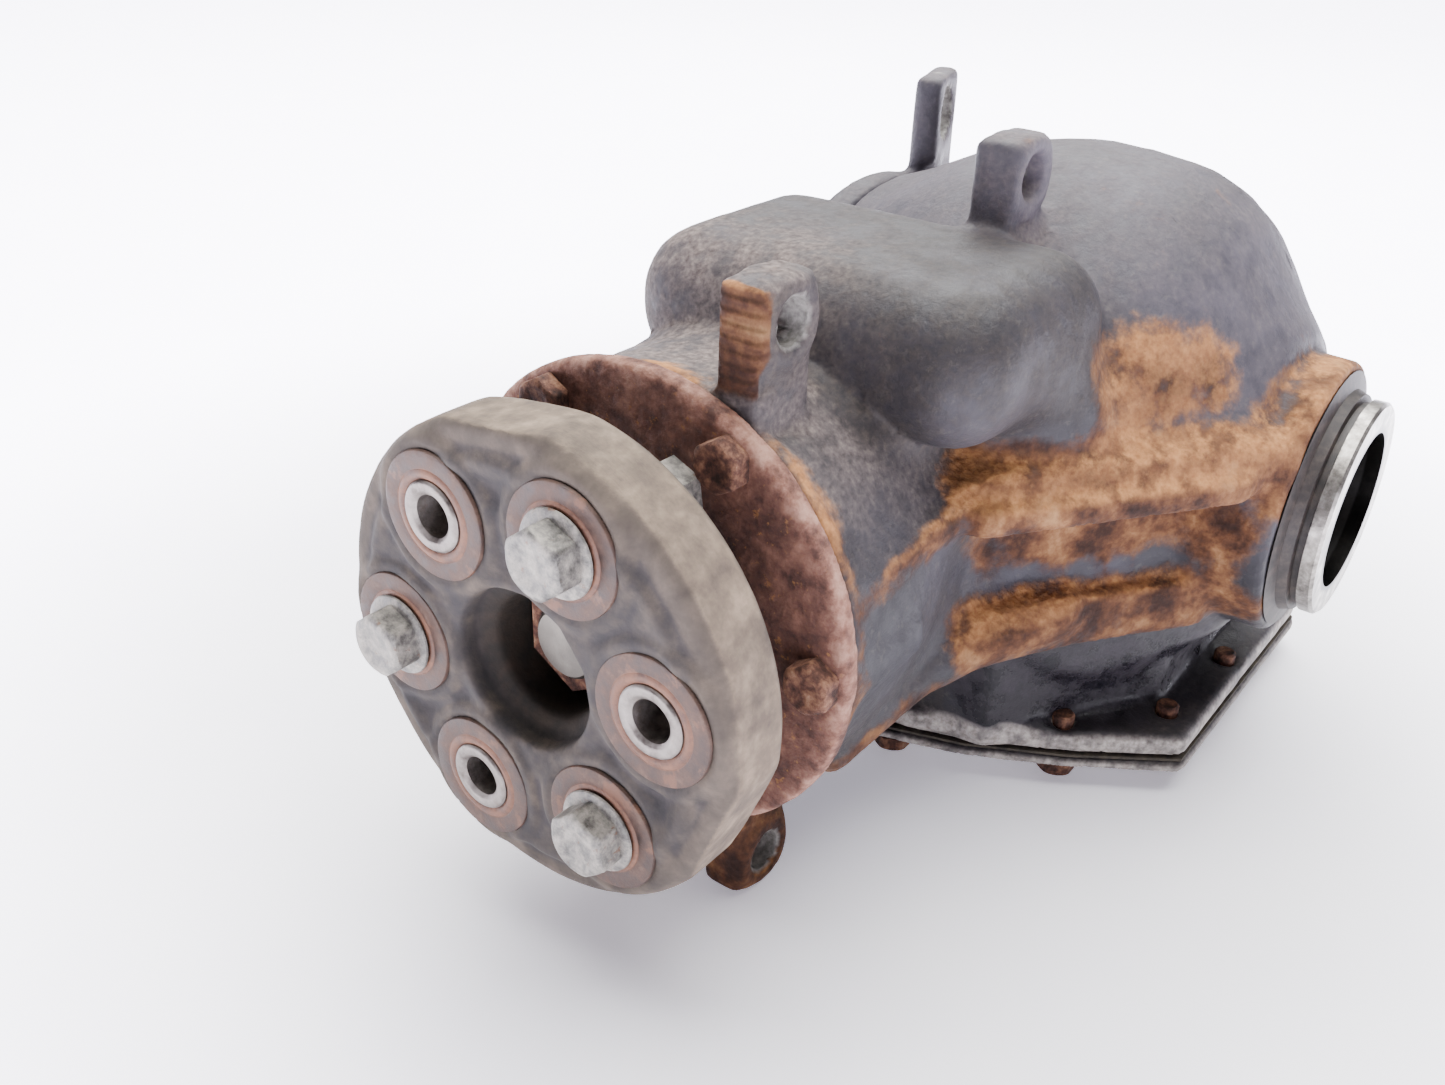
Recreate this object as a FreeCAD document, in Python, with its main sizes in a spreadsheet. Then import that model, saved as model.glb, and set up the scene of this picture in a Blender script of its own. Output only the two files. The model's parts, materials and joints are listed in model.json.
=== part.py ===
"""Final-drive differential with a rubber propshaft coupling, in millimetres.

+X runs along the pinion out to the propshaft, +Y along the axle and +Z up. The origin is the
centre of the coupling's front face. The ring and pinion axes cross at (axle_x, 0, 0).
"""
import FreeCAD, Part
import math
import os
import re

import Sketcher
from FreeCAD import Placement, Rotation, Vector

SIZES = {
    # coupling
    "coupling_front": -2.0,
    "coupling_rear": -27.0,
    "coupling_outer": 72.0,
    "coupling_flat": 69.5,
    "coupling_bore": 24.0,
    "coupling_circle": 48.0,
    "sleeve_outer": 10.5,
    "sleeve_bore": 6.3,
    "plate_outer": 19.0,
    "plate_thick": 1.5,
    # input flange and its fasteners
    "flange_face": -29.0,
    "arm_thick": 8.0,
    "bolt_shank": 6.0,
    "pinion_thread": 11.0,
    "arm_tip": 12.5,
    "flange_hub": 20.5,
    "nut_flats": 17.0,
    "nut_thick": 9.5,
    # pinion line
    "front_face": -57.0,
    "front_cover_thick": 7.0,
    "front_cover_outer": 74.0,
    "front_bolt_circle": 64.5,
    "front_bearing_front": -74.0,
    "front_bearing_rear": -94.0,
    "front_bearing_outer": 34.0,
    "head_bearing_front": -136.0,
    "head_bearing_rear": -158.0,
    "head_bearing_outer": 38.0,
    "front_journal": 15.0,
    "head_journal": 17.5,
    "nose_front": 70.0,
    "nose_rear": 62.0,
    # ring and pinion teeth
    "axle_x": -253.0,
    "pinion_teeth": 12,
    "ring_teeth": 37,
    "tooth_module": 4.5,
    "tooth_face": 25.5,
    "tooth_shift": 0.35,
    # side and spider teeth
    "side_teeth": 16,
    "spider_teeth": 10,
    "small_module": 3.8,
    "small_face": 11.0,
    "backlash": 0.4,
    # carrier
    "ring_back": 47.0,
    "ring_pilot": 54.0,
    "ring_bolt_circle": 66.0,
    "carrier_flange": 78.0,
    "carrier_flange_thick": 10.0,
    "case_outer": 53.5,
    "case_bore": 42.0,
    "hub_journal": 25.0,
    "hub_bore": 16.5,
    "case_side": 29.5,
    "right_bearing_in": 82.0,
    "left_bearing_in": -60.0,
    "carrier_bearing_width": 20.0,
    "carrier_bearing_outer": 42.5,
    "cross_pin_r": 8.0,
    # housing
    "left_face": -45.0,
    "left_bore": 60.0,
    "left_flange": 80.0,
    "side_bolt_circle": 71.0,
    "drum_outer": 105.5,
    "plug_face": -360.0,
    "rib_low": 17.0,
    "rib_floor": -20.0,
    "hump_rear": -190.0,
    "hump_length": 90.0,
    "hump_left": -52.0,
    "hump_width": 132.0,
    "hump_top": 92.0,
    "hump_height": 48.0,
    "hump_round": 22.0,
    "boss_outer": 49.0,
    "boss_end": 136.0,
    "right_face": 148.7,
    "left_output_face": -112.0,
    "collar_outer": 38.0,
    "output_bore": 27.7,
    "flange_bottom": -88.5,
    "flange_thick": 9.5,
    "rim_side": 125.0,
    "rim_left": -62.0,
    "rim_front": -148.0,
    "rim_rear": -352.0,
    "side_wall": 108.0,
    "front_wall": -159.0,
    "rear_wall": -346.0,
    "cast_wall": 7.0,
    "corner_cut": 24.0,
    "corner_x": -125.0,
    "corner_y": 58.0,
    "corner_slope": 0.6957,
    "slant_stretch": 1.218,
    "gasket_thick": 1.0,
    "cover_thick": 5.0,
    # mounting ears
    "ear_face": 38.0,
    "ear_width": 17.0,
    "ear_crown": 12.0,
    "ear_step": 2.5,
    "ear_outer": 13.0,
    "ear_bore": 6.9,
    "front_ear_x": -70.0,
    "front_ear_z": 90.0,
    "rear_ear_x": -189.0,
    "rear_ear_z": 107.0,
    "rear_ear_face": 45.0,
    "rear_ear_bore": 7.2,
    "lug_x": -290.4,
    "lug_y": -49.6,
    "lug_z": 99.5,
    "lug_thick": 11.0,
    "lug_bore": 10.0,
    "lug_turn": 17.0,
}

SHEET_NAME = "Sizes"
WORD = re.compile(r"[a-z_]+[a-z_0-9]*")
GAP = 0.05
ROOT_OVERRUN = 0.4
TURN_TO_X = Rotation(Vector(0, 1, 0), 90)
TURN_TO_Y = Rotation(Vector(1, 0, 0), -90)
PINION_LINE = (Rotation(), "0")
AXLE_LINE = (Rotation(Vector(0, 0, 1), 90), "axle_x")
OPEN_SLEEVE_ANGLE = 8
ROLLER_COUNT = 15
RING_BOLTS = 10
FRONT_BOLTS = 6
SIDE_BOLTS = 8

doc = FreeCAD.newDocument("differential")
sheet = doc.addObject("Spreadsheet::Sheet", SHEET_NAME)
nodes = {}


def fill_sheet():
    """Write every driving dimension and its alias."""
    for row, (alias, number) in enumerate(SIZES.items(), start=1):
        sheet.set(f"A{row}", alias.replace("_", " "))
        sheet.set(f"B{row}", str(number))
        sheet.setAlias(f"B{row}", alias)
    doc.recompute()


def bound(text):
    """Point each alias in an expression at the sheet."""
    return WORD.sub(lambda word: f"{SHEET_NAME}.{word.group()}" if word.group() in SIZES
                    else word.group(), str(text))


def value(text):
    """Work out an expression of aliases as a plain number."""
    return float(sheet.evalExpression(str(text)))


def bind(item, prop, text):
    """Bind one property of an object to an expression of aliases."""
    item.setExpression(prop, bound(text))


def place(item, turn, x="0", y="0", z="0"):
    """Give an object its rotation, and bind its position."""
    item.Placement = Placement(Vector(value(x), value(y), value(z)), turn)
    for prop, text in (("x", x), ("y", y), ("z", z)):
        bind(item, f"Placement.Base.{prop}", text)


def node(item, name):
    """Register a finished sub-part under the name of its file."""
    item.Label = name
    nodes[name] = item
    return item


# ---------------------------------------------------------------- sketches and bodies

def plane_of(body, role):
    """Find one of a body's own origin planes or axes."""
    return next(item for item in body.Origin.OriginFeatures if item.Role == role)


def outline(body, role, points, offset="0"):
    """Draw a closed outline whose every corner is bound to the sheet."""
    sketch = body.newObject("Sketcher::SketchObject", "Outline")
    sketch.AttachmentSupport = [(plane_of(body, role), "")]
    sketch.MapMode = "FlatFace"
    bind(sketch, "AttachmentOffset.Base.z", offset)
    spots = [Vector(value(across), value(up), 0) for across, up in points]
    count = len(spots)
    for index in range(count):
        sketch.addGeometry(Part.LineSegment(spots[index], spots[(index + 1) % count]), False)
    for index in range(count):
        sketch.addConstraint(Sketcher.Constraint("Coincident", index, 2, (index + 1) % count, 1))
    for index, (across, up) in enumerate(points):
        for kind, text, number in (("DistanceX", across, spots[index].x),
                                   ("DistanceY", up, spots[index].y)):
            rule = sketch.addConstraint(Sketcher.Constraint(kind, -1, 1, index, 1, number))
            bind(sketch, f"Constraints[{rule}]", text)
    return sketch


def turned(name, points, line=PINION_LINE):
    """Revolve an outline of (along, radius) points about the pinion or the axle line."""
    body = doc.addObject("PartDesign::Body", name)
    place(body, line[0], line[1])
    revolution = body.newObject("PartDesign::Revolution", "Turning")
    revolution.Profile = outline(body, "XY_Plane", points)
    revolution.ReferenceAxis = (plane_of(body, "X_Axis"), [""])
    revolution.Angle = 360
    body.Tip = revolution
    return body


def on_axle(name, points):
    """Revolve an outline about the axle axis."""
    return turned(name, points, AXLE_LINE)


def ring_points(low, high, inner, outer):
    """Return the four corners of a plain ring's section."""
    return [(low, inner), (high, inner), (high, outer), (low, outer)]


def prism(name, points, low, high):
    """Pad a plan outline of (x, y) points from one height to another."""
    body = doc.addObject("PartDesign::Body", name)
    pad = body.newObject("PartDesign::Pad", "Block")
    pad.Profile = outline(body, "XY_Plane", points, low)
    bind(pad, "Length", f"({high}) - ({low})")
    body.Tip = pad
    return body


# ---------------------------------------------------------------- primitives and booleans

def rod(name, turn, radius, length, x="0", y="0", z="0"):
    """Add a cylinder that starts at a point."""
    item = doc.addObject("Part::Cylinder", name)
    bind(item, "Radius", radius)
    bind(item, "Height", length)
    place(item, turn, x, y, z)
    return item


def hexagon(name, turn, flats, length, x, y, z):
    """Add a hexagonal prism that starts at a point."""
    item = doc.addObject("Part::Prism", name)
    item.Polygon = 6
    bind(item, "Circumradius", f"({flats}) / sqrt(3)")
    bind(item, "Height", length)
    place(item, turn, x, y, z)
    return item


def fused(name, items):
    """Fuse several objects."""
    item = doc.addObject("Part::MultiFuse", name)
    item.Shapes = items
    return item


def cut(name, base, tools):
    """Cut one or more tools from a base."""
    item = doc.addObject("Part::Cut", name)
    item.Base = base
    item.Tool = tools[0] if len(tools) == 1 else fused(name + "_tools", tools)
    return item


def group(name, items):
    """Hold separate solids in one node."""
    item = doc.addObject("Part::Compound", name)
    item.Links = items
    return node(item, name)


def around_x(radius, angle):
    """Return the y and z of a point on a circle about the pinion axis."""
    return f"({radius}) * cos({angle})", f"({radius}) * sin({angle})"


def around_y(radius, angle):
    """Return the x and z of a point on a circle about the axle axis."""
    return f"axle_x + ({radius}) * cos({angle})", f"({radius}) * sin({angle})"


# ---------------------------------------------------------------- bevel teeth

def involute(angle):
    """Return the involute function of an angle in radians."""
    return math.tan(angle) - angle


def half_tooth(radius, teeth, module, shift, backlash):
    """Return half the angle that a virtual spur tooth fills at a radius."""
    pressure = math.radians(20)
    pitch_r = teeth * module / 2
    base_r = pitch_r * math.cos(pressure)
    at_pitch = math.pi / (2 * teeth) + 2 * shift * math.tan(pressure) / teeth
    here = math.acos(base_r / max(radius, base_r))
    return at_pitch + involute(pressure) - involute(here) - backlash / (4 * pitch_r)


def tooth_section(teeth, mate_teeth, module, shift, backlash, root_depth):
    """Return the (along, radius, angle) corners of one bevel tooth at the large end."""
    cone = math.atan2(teeth, mate_teeth)
    virtual = teeth / math.cos(cone)
    pitch_r = virtual * module / 2
    top = (1 + shift) * module
    bottom = -(1.25 - shift) * module - root_depth
    steps = [bottom, bottom + root_depth, -0.55 * module, -0.1 * module, 0.4 * module, top]
    heights = sorted({round(step, 6) for step in steps if step <= top})
    apex_to_pitch = teeth * module / 2 / math.sin(cone)
    side = []
    for height in heights:
        angle = half_tooth(pitch_r + height, virtual, module, shift, backlash)
        along = apex_to_pitch * math.cos(cone) - height * math.sin(cone)
        radius = apex_to_pitch * math.sin(cone) + height * math.cos(cone)
        side.append((along, radius, angle / math.cos(cone)))
    return [(a, r, -t) for a, r, t in side] + [(a, r, t) for a, r, t in reversed(side)]


def bevel_teeth(teeth, mate_teeth, module, face, shift, phase):
    """Loft every tooth of a straight bevel gear towards the apex at the local origin."""
    cone = math.atan2(teeth, mate_teeth)
    length = teeth * module / 2 / math.sin(cone)
    scale = (length - face) / length
    section = tooth_section(teeth, mate_teeth, module, shift, value("backlash"), 0.8)
    solids = []
    for index in range(teeth):
        middle = 2 * math.pi * index / teeth + phase
        normal = Vector(math.cos(cone), math.sin(cone) * math.cos(middle),
                        math.sin(cone) * math.sin(middle))
        corners = []
        for along, radius, angle in section:
            ray = Vector(along, radius * math.cos(middle + angle), radius * math.sin(middle + angle))
            corners.append(ray * (length / normal.dot(ray)))
        large = Part.makePolygon(corners + corners[:1])
        small = Part.makePolygon([corner * scale for corner in corners + corners[:1]])
        solids.append(Part.makeLoft([large, small], True, True))
    return solids


def lathe(points):
    """Revolve (along, radius) points about the local X axis."""
    corners = [Vector(along, radius, 0) for along, radius in points]
    face = Part.Face(Part.makePolygon(corners + corners[:1]))
    return face.revolve(Vector(), Vector(1, 0, 0), 360)


def gear_feature(name, shape, turn):
    """Add a toothed piece whose apex is where the ring and pinion axes cross."""
    feature = doc.addObject("Part::Feature", name)
    feature.Shape = shape
    feature.Placement = Placement(Vector(value("axle_x"), 0, 0), turn)
    return node(feature, name)


def root_line(teeth, mate_teeth, module, face, shift):
    """Return the root cone's (along, radius) ends, just past both ends of the teeth."""
    cone = math.atan2(teeth, mate_teeth)
    length = teeth * module / 2 / math.sin(cone)
    depth = (1.25 - shift) * module
    along = length * math.cos(cone) + depth * math.sin(cone)
    radius = length * math.sin(cone) - depth * math.cos(cone)
    inner = (length - face - ROOT_OVERRUN) / length
    outer = (length + ROOT_OVERRUN) / length
    return (along * inner, radius * inner), (along * outer, radius * outer)


# ---------------------------------------------------------------- bearings

def tapered_bearing(name, line, ends, sizes):
    """Make a cup, a cone and its rollers between the narrow and the wide end of the cup."""
    narrow, wide = ends
    bore, outer = sizes
    middle = f"(({bore}) + ({outer})) / 2"
    cup = [(narrow, f"{middle} + 2.1"), (wide, f"{middle} + 5.5"), (wide, f"({outer}) - {GAP}"),
           (narrow, f"({outer}) - {GAP}")]
    cone = [(narrow, f"({bore}) + {GAP}"), (wide, f"({bore}) + {GAP}"),
            (wide, f"{middle} - 2"), (narrow, f"{middle} - 4")]
    node(turned(name + "_cup_body", cup, line), name + "_cup")
    node(turned(name + "_cone_body", cone, line), name + "_cone")
    node(roller_set(name + "_roller_body", line, ends, middle), name + "_rollers")


def roller_set(name, line, ends, middle):
    """Pattern one tapered roller round the line, clear of both races."""
    narrow, wide = ends
    start = f"({narrow}) * 0.88 + ({wide}) * 0.12"
    end = f"({narrow}) * 0.12 + ({wide}) * 0.88"
    body = doc.addObject("PartDesign::Body", name)
    place(body, line[0], line[1])
    profile = outline(body, "XY_Plane", [(start, f"{middle} - 0.7"), (end, f"{middle} + 1.3"),
                                         (end, f"{middle} + 4.7"), (start, f"{middle} + 2.2")])
    roller = body.newObject("PartDesign::Revolution", "Roller")
    roller.Profile = profile
    roller.ReferenceAxis = (profile, ["Edge1"])
    roller.Angle = 360
    pattern = body.newObject("PartDesign::PolarPattern", "Rollers")
    pattern.Originals = [roller]
    pattern.Axis = (plane_of(body, "X_Axis"), [""])
    pattern.Angle = 360
    pattern.Occurrences = ROLLER_COUNT
    body.Tip = pattern
    return body


# ---------------------------------------------------------------- coupling and pinion line

def radial_box(name, start, length, near, depth, width, angle):
    """Make a box that reaches outwards from the pinion axis at an angle."""
    box = doc.addObject("Part::Box", name)
    bind(box, "Length", length)
    bind(box, "Width", depth)
    bind(box, "Height", f"({width}) * 2")
    y, z = around_x(near, angle)
    side_y, side_z = around_x(width, angle - 90)
    place(box, Rotation(Vector(1, 0, 0), angle), start, f"{y} + {side_y}", f"{z} + {side_z}")
    return box


def flex_coupling():
    """Rubber disc with three flattened sides and six sleeve holes."""
    disc = turned("coupling_disc", [
        ("coupling_rear", "coupling_bore - 5"), ("coupling_front - 10", "coupling_bore - 5"),
        ("coupling_front - 7", "coupling_bore"), ("coupling_front", "coupling_bore"),
        ("coupling_front", "coupling_outer - 3"), ("coupling_front - 3", "coupling_outer"),
        ("coupling_rear + 3", "coupling_outer"), ("coupling_rear", "coupling_outer - 3")])
    tools = []
    for index in range(3):
        tools.append(radial_box(f"flat_{index}", "coupling_rear - 5", "40", "coupling_flat", "20",
                                "coupling_outer", OPEN_SLEEVE_ANGLE - 30 + 120 * index))
    for index in range(6):
        y, z = around_x("coupling_circle", OPEN_SLEEVE_ANGLE + 60 * index)
        tools.append(rod(f"coupling_hole_{index}", TURN_TO_X, f"sleeve_outer + {GAP}", "40",
                         "coupling_rear - 5", y, z))
    node(cut("coupling_rubber", disc, tools), "flex_coupling")


def coupling_sleeves():
    """Six steel sleeves and the round plates bonded to both faces of the rubber."""
    sleeves, plates = [], []
    for index in range(6):
        y, z = around_x("coupling_circle", OPEN_SLEEVE_ANGLE + 60 * index)
        bore = "sleeve_bore" if index % 2 == 0 else f"bolt_shank + {GAP}"
        tube = rod(f"sleeve_tube_{index}", TURN_TO_X, "sleeve_outer", "-flange_face", "flange_face",
                   y, z)
        eye = rod(f"sleeve_eye_{index}", TURN_TO_X, bore, "40", "flange_face - 5", y, z)
        sleeves.append(cut(f"sleeve_{index}", tube, [eye]))
        for side, start in (("front", "coupling_front"), ("rear", "coupling_rear - plate_thick")):
            disc = rod(f"{side}_disc_{index}", TURN_TO_X, "plate_outer", "plate_thick", start, y, z)
            hole = rod(f"{side}_hole_{index}", TURN_TO_X, f"sleeve_outer + {GAP}", "10",
                       f"{start} - 5", y, z)
            plates.append(cut(f"{side}_plate_{index}", disc, [hole]))
    group("coupling_sleeves", sleeves)
    group("coupling_end_plates", plates)


def coupling_fasteners():
    """Three bolts through the disc and the flange arms, with their nuts behind."""
    bolts, nuts = [], []
    rear = "(flange_face - arm_thick - nut_thick)"
    for index in range(3):
        angle = OPEN_SLEEVE_ANGLE + 60 + 120 * index
        y, z = around_x("coupling_circle", angle)
        turn = Rotation(Vector(1, 0, 0), angle) * TURN_TO_X
        head = hexagon(f"bolt_head_{index}", turn, "18", "8", "1.5", y, z)
        collar = rod(f"bolt_collar_{index}", TURN_TO_X, "12.5", "1.5", "0", y, z)
        shank = rod(f"bolt_shank_{index}", TURN_TO_X, "bolt_shank", f"1 - {rear}", f"{rear} - 1", y, z)
        bolts.append(fused(f"coupling_bolt_{index}", [head, collar, shank]))
        block = hexagon(f"nut_block_{index}", turn, "nut_flats", "nut_thick", rear, y, z)
        hole = rod(f"nut_hole_{index}", TURN_TO_X, f"bolt_shank + {GAP}", "20", f"{rear} - 5", y, z)
        nuts.append(cut(f"coupling_nut_{index}", block, [hole]))
    group("coupling_bolts", bolts)
    group("coupling_nuts", nuts)


def input_flange():
    """Three-armed flange on the pinion splines."""
    bore = f"front_journal - 2 + {GAP}"
    hub = turned("flange_hub_body", [
        ("front_bearing_front + 0.1", bore), ("flange_face - 2", bore),
        ("flange_face - 2", "flange_hub - 2"), ("flange_face", "flange_hub - 1"),
        ("flange_face", "flange_hub + 7"), ("flange_face - arm_thick", "flange_hub + 7"),
        ("flange_face - arm_thick - 4", "flange_hub"), ("front_bearing_front + 0.1", "flange_hub")])
    solids, holes = [hub], []
    back = "flange_face - arm_thick"
    for index in range(3):
        angle = OPEN_SLEEVE_ANGLE + 60 + 120 * index
        y, z = around_x("coupling_circle", angle)
        solids.append(rod(f"arm_eye_{index}", TURN_TO_X, "arm_tip", "arm_thick", back, y, z))
        solids.append(radial_box(f"arm_{index}", back, "arm_thick", "flange_hub - 2",
                                 "coupling_circle - flange_hub + 2", "arm_tip", angle))
        holes.append(rod(f"arm_hole_{index}", TURN_TO_X, f"bolt_shank + {GAP}", "20", f"{back} - 5",
                         y, z))
    node(cut("flange_with_arms", fused("flange_body", solids), holes), "input_flange")


def pinion_shaft():
    """Bevel pinion in one piece with its stepped shaft."""
    face, shift = value("tooth_face"), value("tooth_shift")
    teeth, mate = int(value("pinion_teeth")), int(value("ring_teeth"))
    small, large = root_line(teeth, mate, value("tooth_module"), face, shift)
    stations = ("head_bearing_rear", "head_bearing_front", "front_bearing_front", "flange_face")
    head_rear, head_front, front, flange = [value(text) - value("axle_x") for text in stations]
    head_r, front_r = value("head_journal"), value("front_journal")
    spline_r, thread_r = front_r - 2, value("pinion_thread")
    blank = lathe([
        (small[0] - 1, 0), (small[0] - 1, small[1] - 2), small, large, (large[0] + 1.5, 23.5),
        (head_rear - 0.1, 23.5), (head_rear - 0.1, head_r), (head_front + 3, head_r),
        (head_front + 5, front_r), (front - 0.6, front_r), (front - 0.1, spline_r),
        (flange - 4, spline_r), (flange - 3, thread_r), (flange + 9, thread_r),
        (flange + 10, thread_r - 1), (flange + 10, 0)])
    teeth_solids = bevel_teeth(teeth, mate, value("tooth_module"), face, shift, 0)
    gear_feature("pinion_shaft", blank.multiFuse(teeth_solids), PINION_LINE[0])


def pinion_parts():
    """Bearings, spacer, shim, seal and nut on the pinion."""
    tapered_bearing("pinion_front", PINION_LINE, ("front_bearing_rear", "front_bearing_front"),
                    ("front_journal", "front_bearing_outer"))
    tapered_bearing("pinion_head", PINION_LINE, ("head_bearing_front", "head_bearing_rear"),
                    ("head_journal", "head_bearing_outer"))
    inner = "front_journal + 0.1"
    node(turned("crush_sleeve_body", [
        ("head_bearing_front + 6", inner), ("front_bearing_rear - 0.1", inner),
        ("front_bearing_rear - 0.1", "front_journal + 3"),
        ("front_bearing_rear - 10", "front_journal + 3"),
        ("front_bearing_rear - 15", "front_journal + 6"),
        ("head_bearing_front + 15", "front_journal + 6"),
        ("head_bearing_front + 10", "front_journal + 3"),
        ("head_bearing_front + 6", "front_journal + 3")]), "crush_sleeve")
    node(turned("pinion_shim_body", ring_points(
        f"head_bearing_front + {GAP}", "head_bearing_front + 1.5", "head_bearing_outer - 6",
        "head_bearing_outer - 0.1")), "pinion_shim")
    node(turned("pinion_seal_body", [
        ("front_face - 12", "front_bearing_outer - 3"), ("front_face - 7", "front_bearing_outer - 3"),
        ("front_face - 6", "flange_hub + 3"), ("front_face - 4.5", "flange_hub + 0.35"),
        ("front_face - 3", "flange_hub + 3"), ("front_face - 3", f"front_bearing_outer - {GAP}"),
        ("front_face - 12", f"front_bearing_outer - {GAP}")]), "pinion_oil_seal")
    block = hexagon("pinion_nut_block", TURN_TO_X, "30", "9", f"flange_face - 2 + {GAP}", "0", "0")
    hole = rod("pinion_nut_hole", TURN_TO_X, f"pinion_thread + {GAP}", "20", "flange_face - 5")
    node(cut("pinion_nut_body", block, [hole]), "pinion_nut")


# ---------------------------------------------------------------- carrier

def ring_gear():
    """Toothed ring bolted to the carrier flange."""
    teeth, mate = int(value("ring_teeth")), int(value("pinion_teeth"))
    module, face, shift = value("tooth_module"), value("tooth_face"), -value("tooth_shift")
    small, large = root_line(teeth, mate, module, face, shift)
    back, bore = value("ring_back"), value("ring_pilot")
    blank = lathe([(small[0], bore), small, large, (large[0] + 1, large[1] + 1),
                   (back, large[1] + 1), (back, bore)])
    ring = blank.multiFuse(bevel_teeth(teeth, mate, module, face, shift, 0))
    holes = []
    for index in range(RING_BOLTS):
        angle = 2 * math.pi * index / RING_BOLTS
        radius = value("ring_bolt_circle")
        start = Vector(back - 14, radius * math.cos(angle), radius * math.sin(angle))
        holes.append(Part.makeCylinder(4 + GAP, 15, start, Vector(1, 0, 0)))
    gear_feature("ring_gear", ring.cut(holes), AXLE_LINE[0])


def carrier_case():
    """One-piece case with two windows, bearing hubs and a flange for the ring gear."""
    flange = "ring_back + carrier_flange_thick"
    left, right = "left_bearing_in", "right_bearing_in"
    left_end, right_end = f"{left} - carrier_bearing_width", f"{right} + carrier_bearing_width"
    body = turned("case_body", [
        (left_end, "hub_bore"), (right_end, "hub_bore"), (right_end, "hub_journal"),
        (right, "hub_journal"), (right, "hub_journal + 6"), (f"{right} - 10", "hub_journal + 6"),
        (flange, "case_outer - 6"), (flange, "carrier_flange"), ("ring_back", "carrier_flange"),
        ("ring_back", f"ring_pilot - {GAP}"), ("24", f"ring_pilot - {GAP}"), ("22", "case_outer"),
        ("-case_side - 4", "case_outer"), (f"{left} + 8", "hub_journal + 6"),
        (left, "hub_journal + 6"), (left, "hub_journal"), (left_end, "hub_journal")], AXLE_LINE)
    cavity = doc.addObject("Part::Sphere", "case_cavity")
    bind(cavity, "Radius", "case_bore")
    bind(cavity, "Angle1", "-asin(case_side / case_bore)")
    bind(cavity, "Angle2", "asin(case_side / case_bore)")
    place(cavity, TURN_TO_Y, "axle_x")
    through = "case_outer * 2 + 4"
    tools = [
        cavity,
        rod("case_pocket", TURN_TO_Y, "case_bore - 10", "case_side * 2", "axle_x", "-case_side"),
        rod("case_window", TURN_TO_X, "27", through, "axle_x - case_outer - 2"),
        rod("case_pin_hole", Rotation(), f"cross_pin_r + {GAP}", through, "axle_x", "0",
            "-case_outer - 2"),
        rod("lock_hole", TURN_TO_Y, f"3 + {GAP}", "60", "axle_x", "-10", "case_outer - 5.5")]
    for index in range(RING_BOLTS):
        x, z = around_y("ring_bolt_circle", 360 / RING_BOLTS * index)
        tools.append(rod(f"flange_hole_{index}", TURN_TO_Y, f"4 + {GAP}", "20", x, "ring_back - 5", z))
    node(cut("case_machined", body, tools), "carrier_case")


def carrier_parts():
    """Bolts, cross pin, bearings and thrust washers that turn with the case."""
    bolts = []
    for index in range(RING_BOLTS):
        x, z = around_y("ring_bolt_circle", 360 / RING_BOLTS * index)
        seat = "ring_back + carrier_flange_thick"
        head = hexagon(f"ring_bolt_head_{index}", TURN_TO_Y, "13", "6", x, seat, z)
        shank = rod(f"ring_bolt_shank_{index}", TURN_TO_Y, "4", "23", x, f"{seat} - 22", z)
        bolts.append(fused(f"ring_bolt_{index}", [head, shank]))
    group("ring_gear_bolts", bolts)
    pin = rod("cross_pin_bar", Rotation(), "cross_pin_r", "case_outer * 2 - 1", "axle_x", "0",
              "-case_outer + 0.5")
    hole = rod("cross_pin_hole", TURN_TO_Y, f"3 + {GAP}", "60", "axle_x", "-30", "case_outer - 5.5")
    node(cut("cross_pin_body", pin, [hole]), "cross_pin")
    node(rod("lock_rod", TURN_TO_Y, "3", "30", "axle_x", "-9.5", "case_outer - 5.5"),
         "cross_pin_lock")
    for side, sign in (("right", "+"), ("left", "-")):
        tapered_bearing(f"{side}_carrier", AXLE_LINE,
                        (f"{side}_bearing_in {sign} carrier_bearing_width", f"{side}_bearing_in"),
                        ("hub_journal", "carrier_bearing_outer"))
    washers = [turned(f"{side}_washer", ring_points(f"{sign}(case_side - 1.2)",
                                                    f"{sign}(case_side - {GAP})",
                                                    "hub_bore + 2", "28"), AXLE_LINE)
               for side, sign in (("right", "+"), ("left", "-"))]
    group("side_thrust_washers", washers)
    cups = []
    for index, turn in enumerate((Rotation(), Rotation(Vector(1, 0, 0), 180))):
        shell = Part.makeSphere(value("case_bore") - GAP).cut(
            Part.makeSphere(value("case_bore") - 1))
        keep = Part.makeCylinder(15, 60).cut(Part.makeCylinder(value("cross_pin_r") + 0.3, 60))
        cup = doc.addObject("Part::Feature", f"spider_washer_{index}")
        cup.Shape = shell.common(keep)
        cup.Placement = Placement(Vector(value("axle_x"), 0, 0), turn)
        cups.append(cup)
    group("spider_thrust_washers", cups)


def small_gear(name, teeth, mate, bore, turn, phase, crown):
    """Make a side gear, or a spider gear whose back is a sphere of the crown radius."""
    module, face = value("small_module"), value("small_face")
    small, large = root_line(teeth, mate, module, face, 0)
    back = crown if crown else value("case_side") - 1.5
    hub_r = large[1] - 2 if crown else large[1] - 4
    blank = lathe([(small[0] - 1.5, bore), (small[0] - 1.5, small[1] - 1.5), small, large,
                   (large[0] + 1, large[1] + 0.5), (large[0] + 3, hub_r), (back, hub_r),
                   (back, bore)])
    shape = blank.multiFuse(bevel_teeth(teeth, mate, module, face, 0, phase))
    if crown:
        shape = shape.common(Part.makeSphere(crown))
    gear_feature(name, shape, turn)


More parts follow.
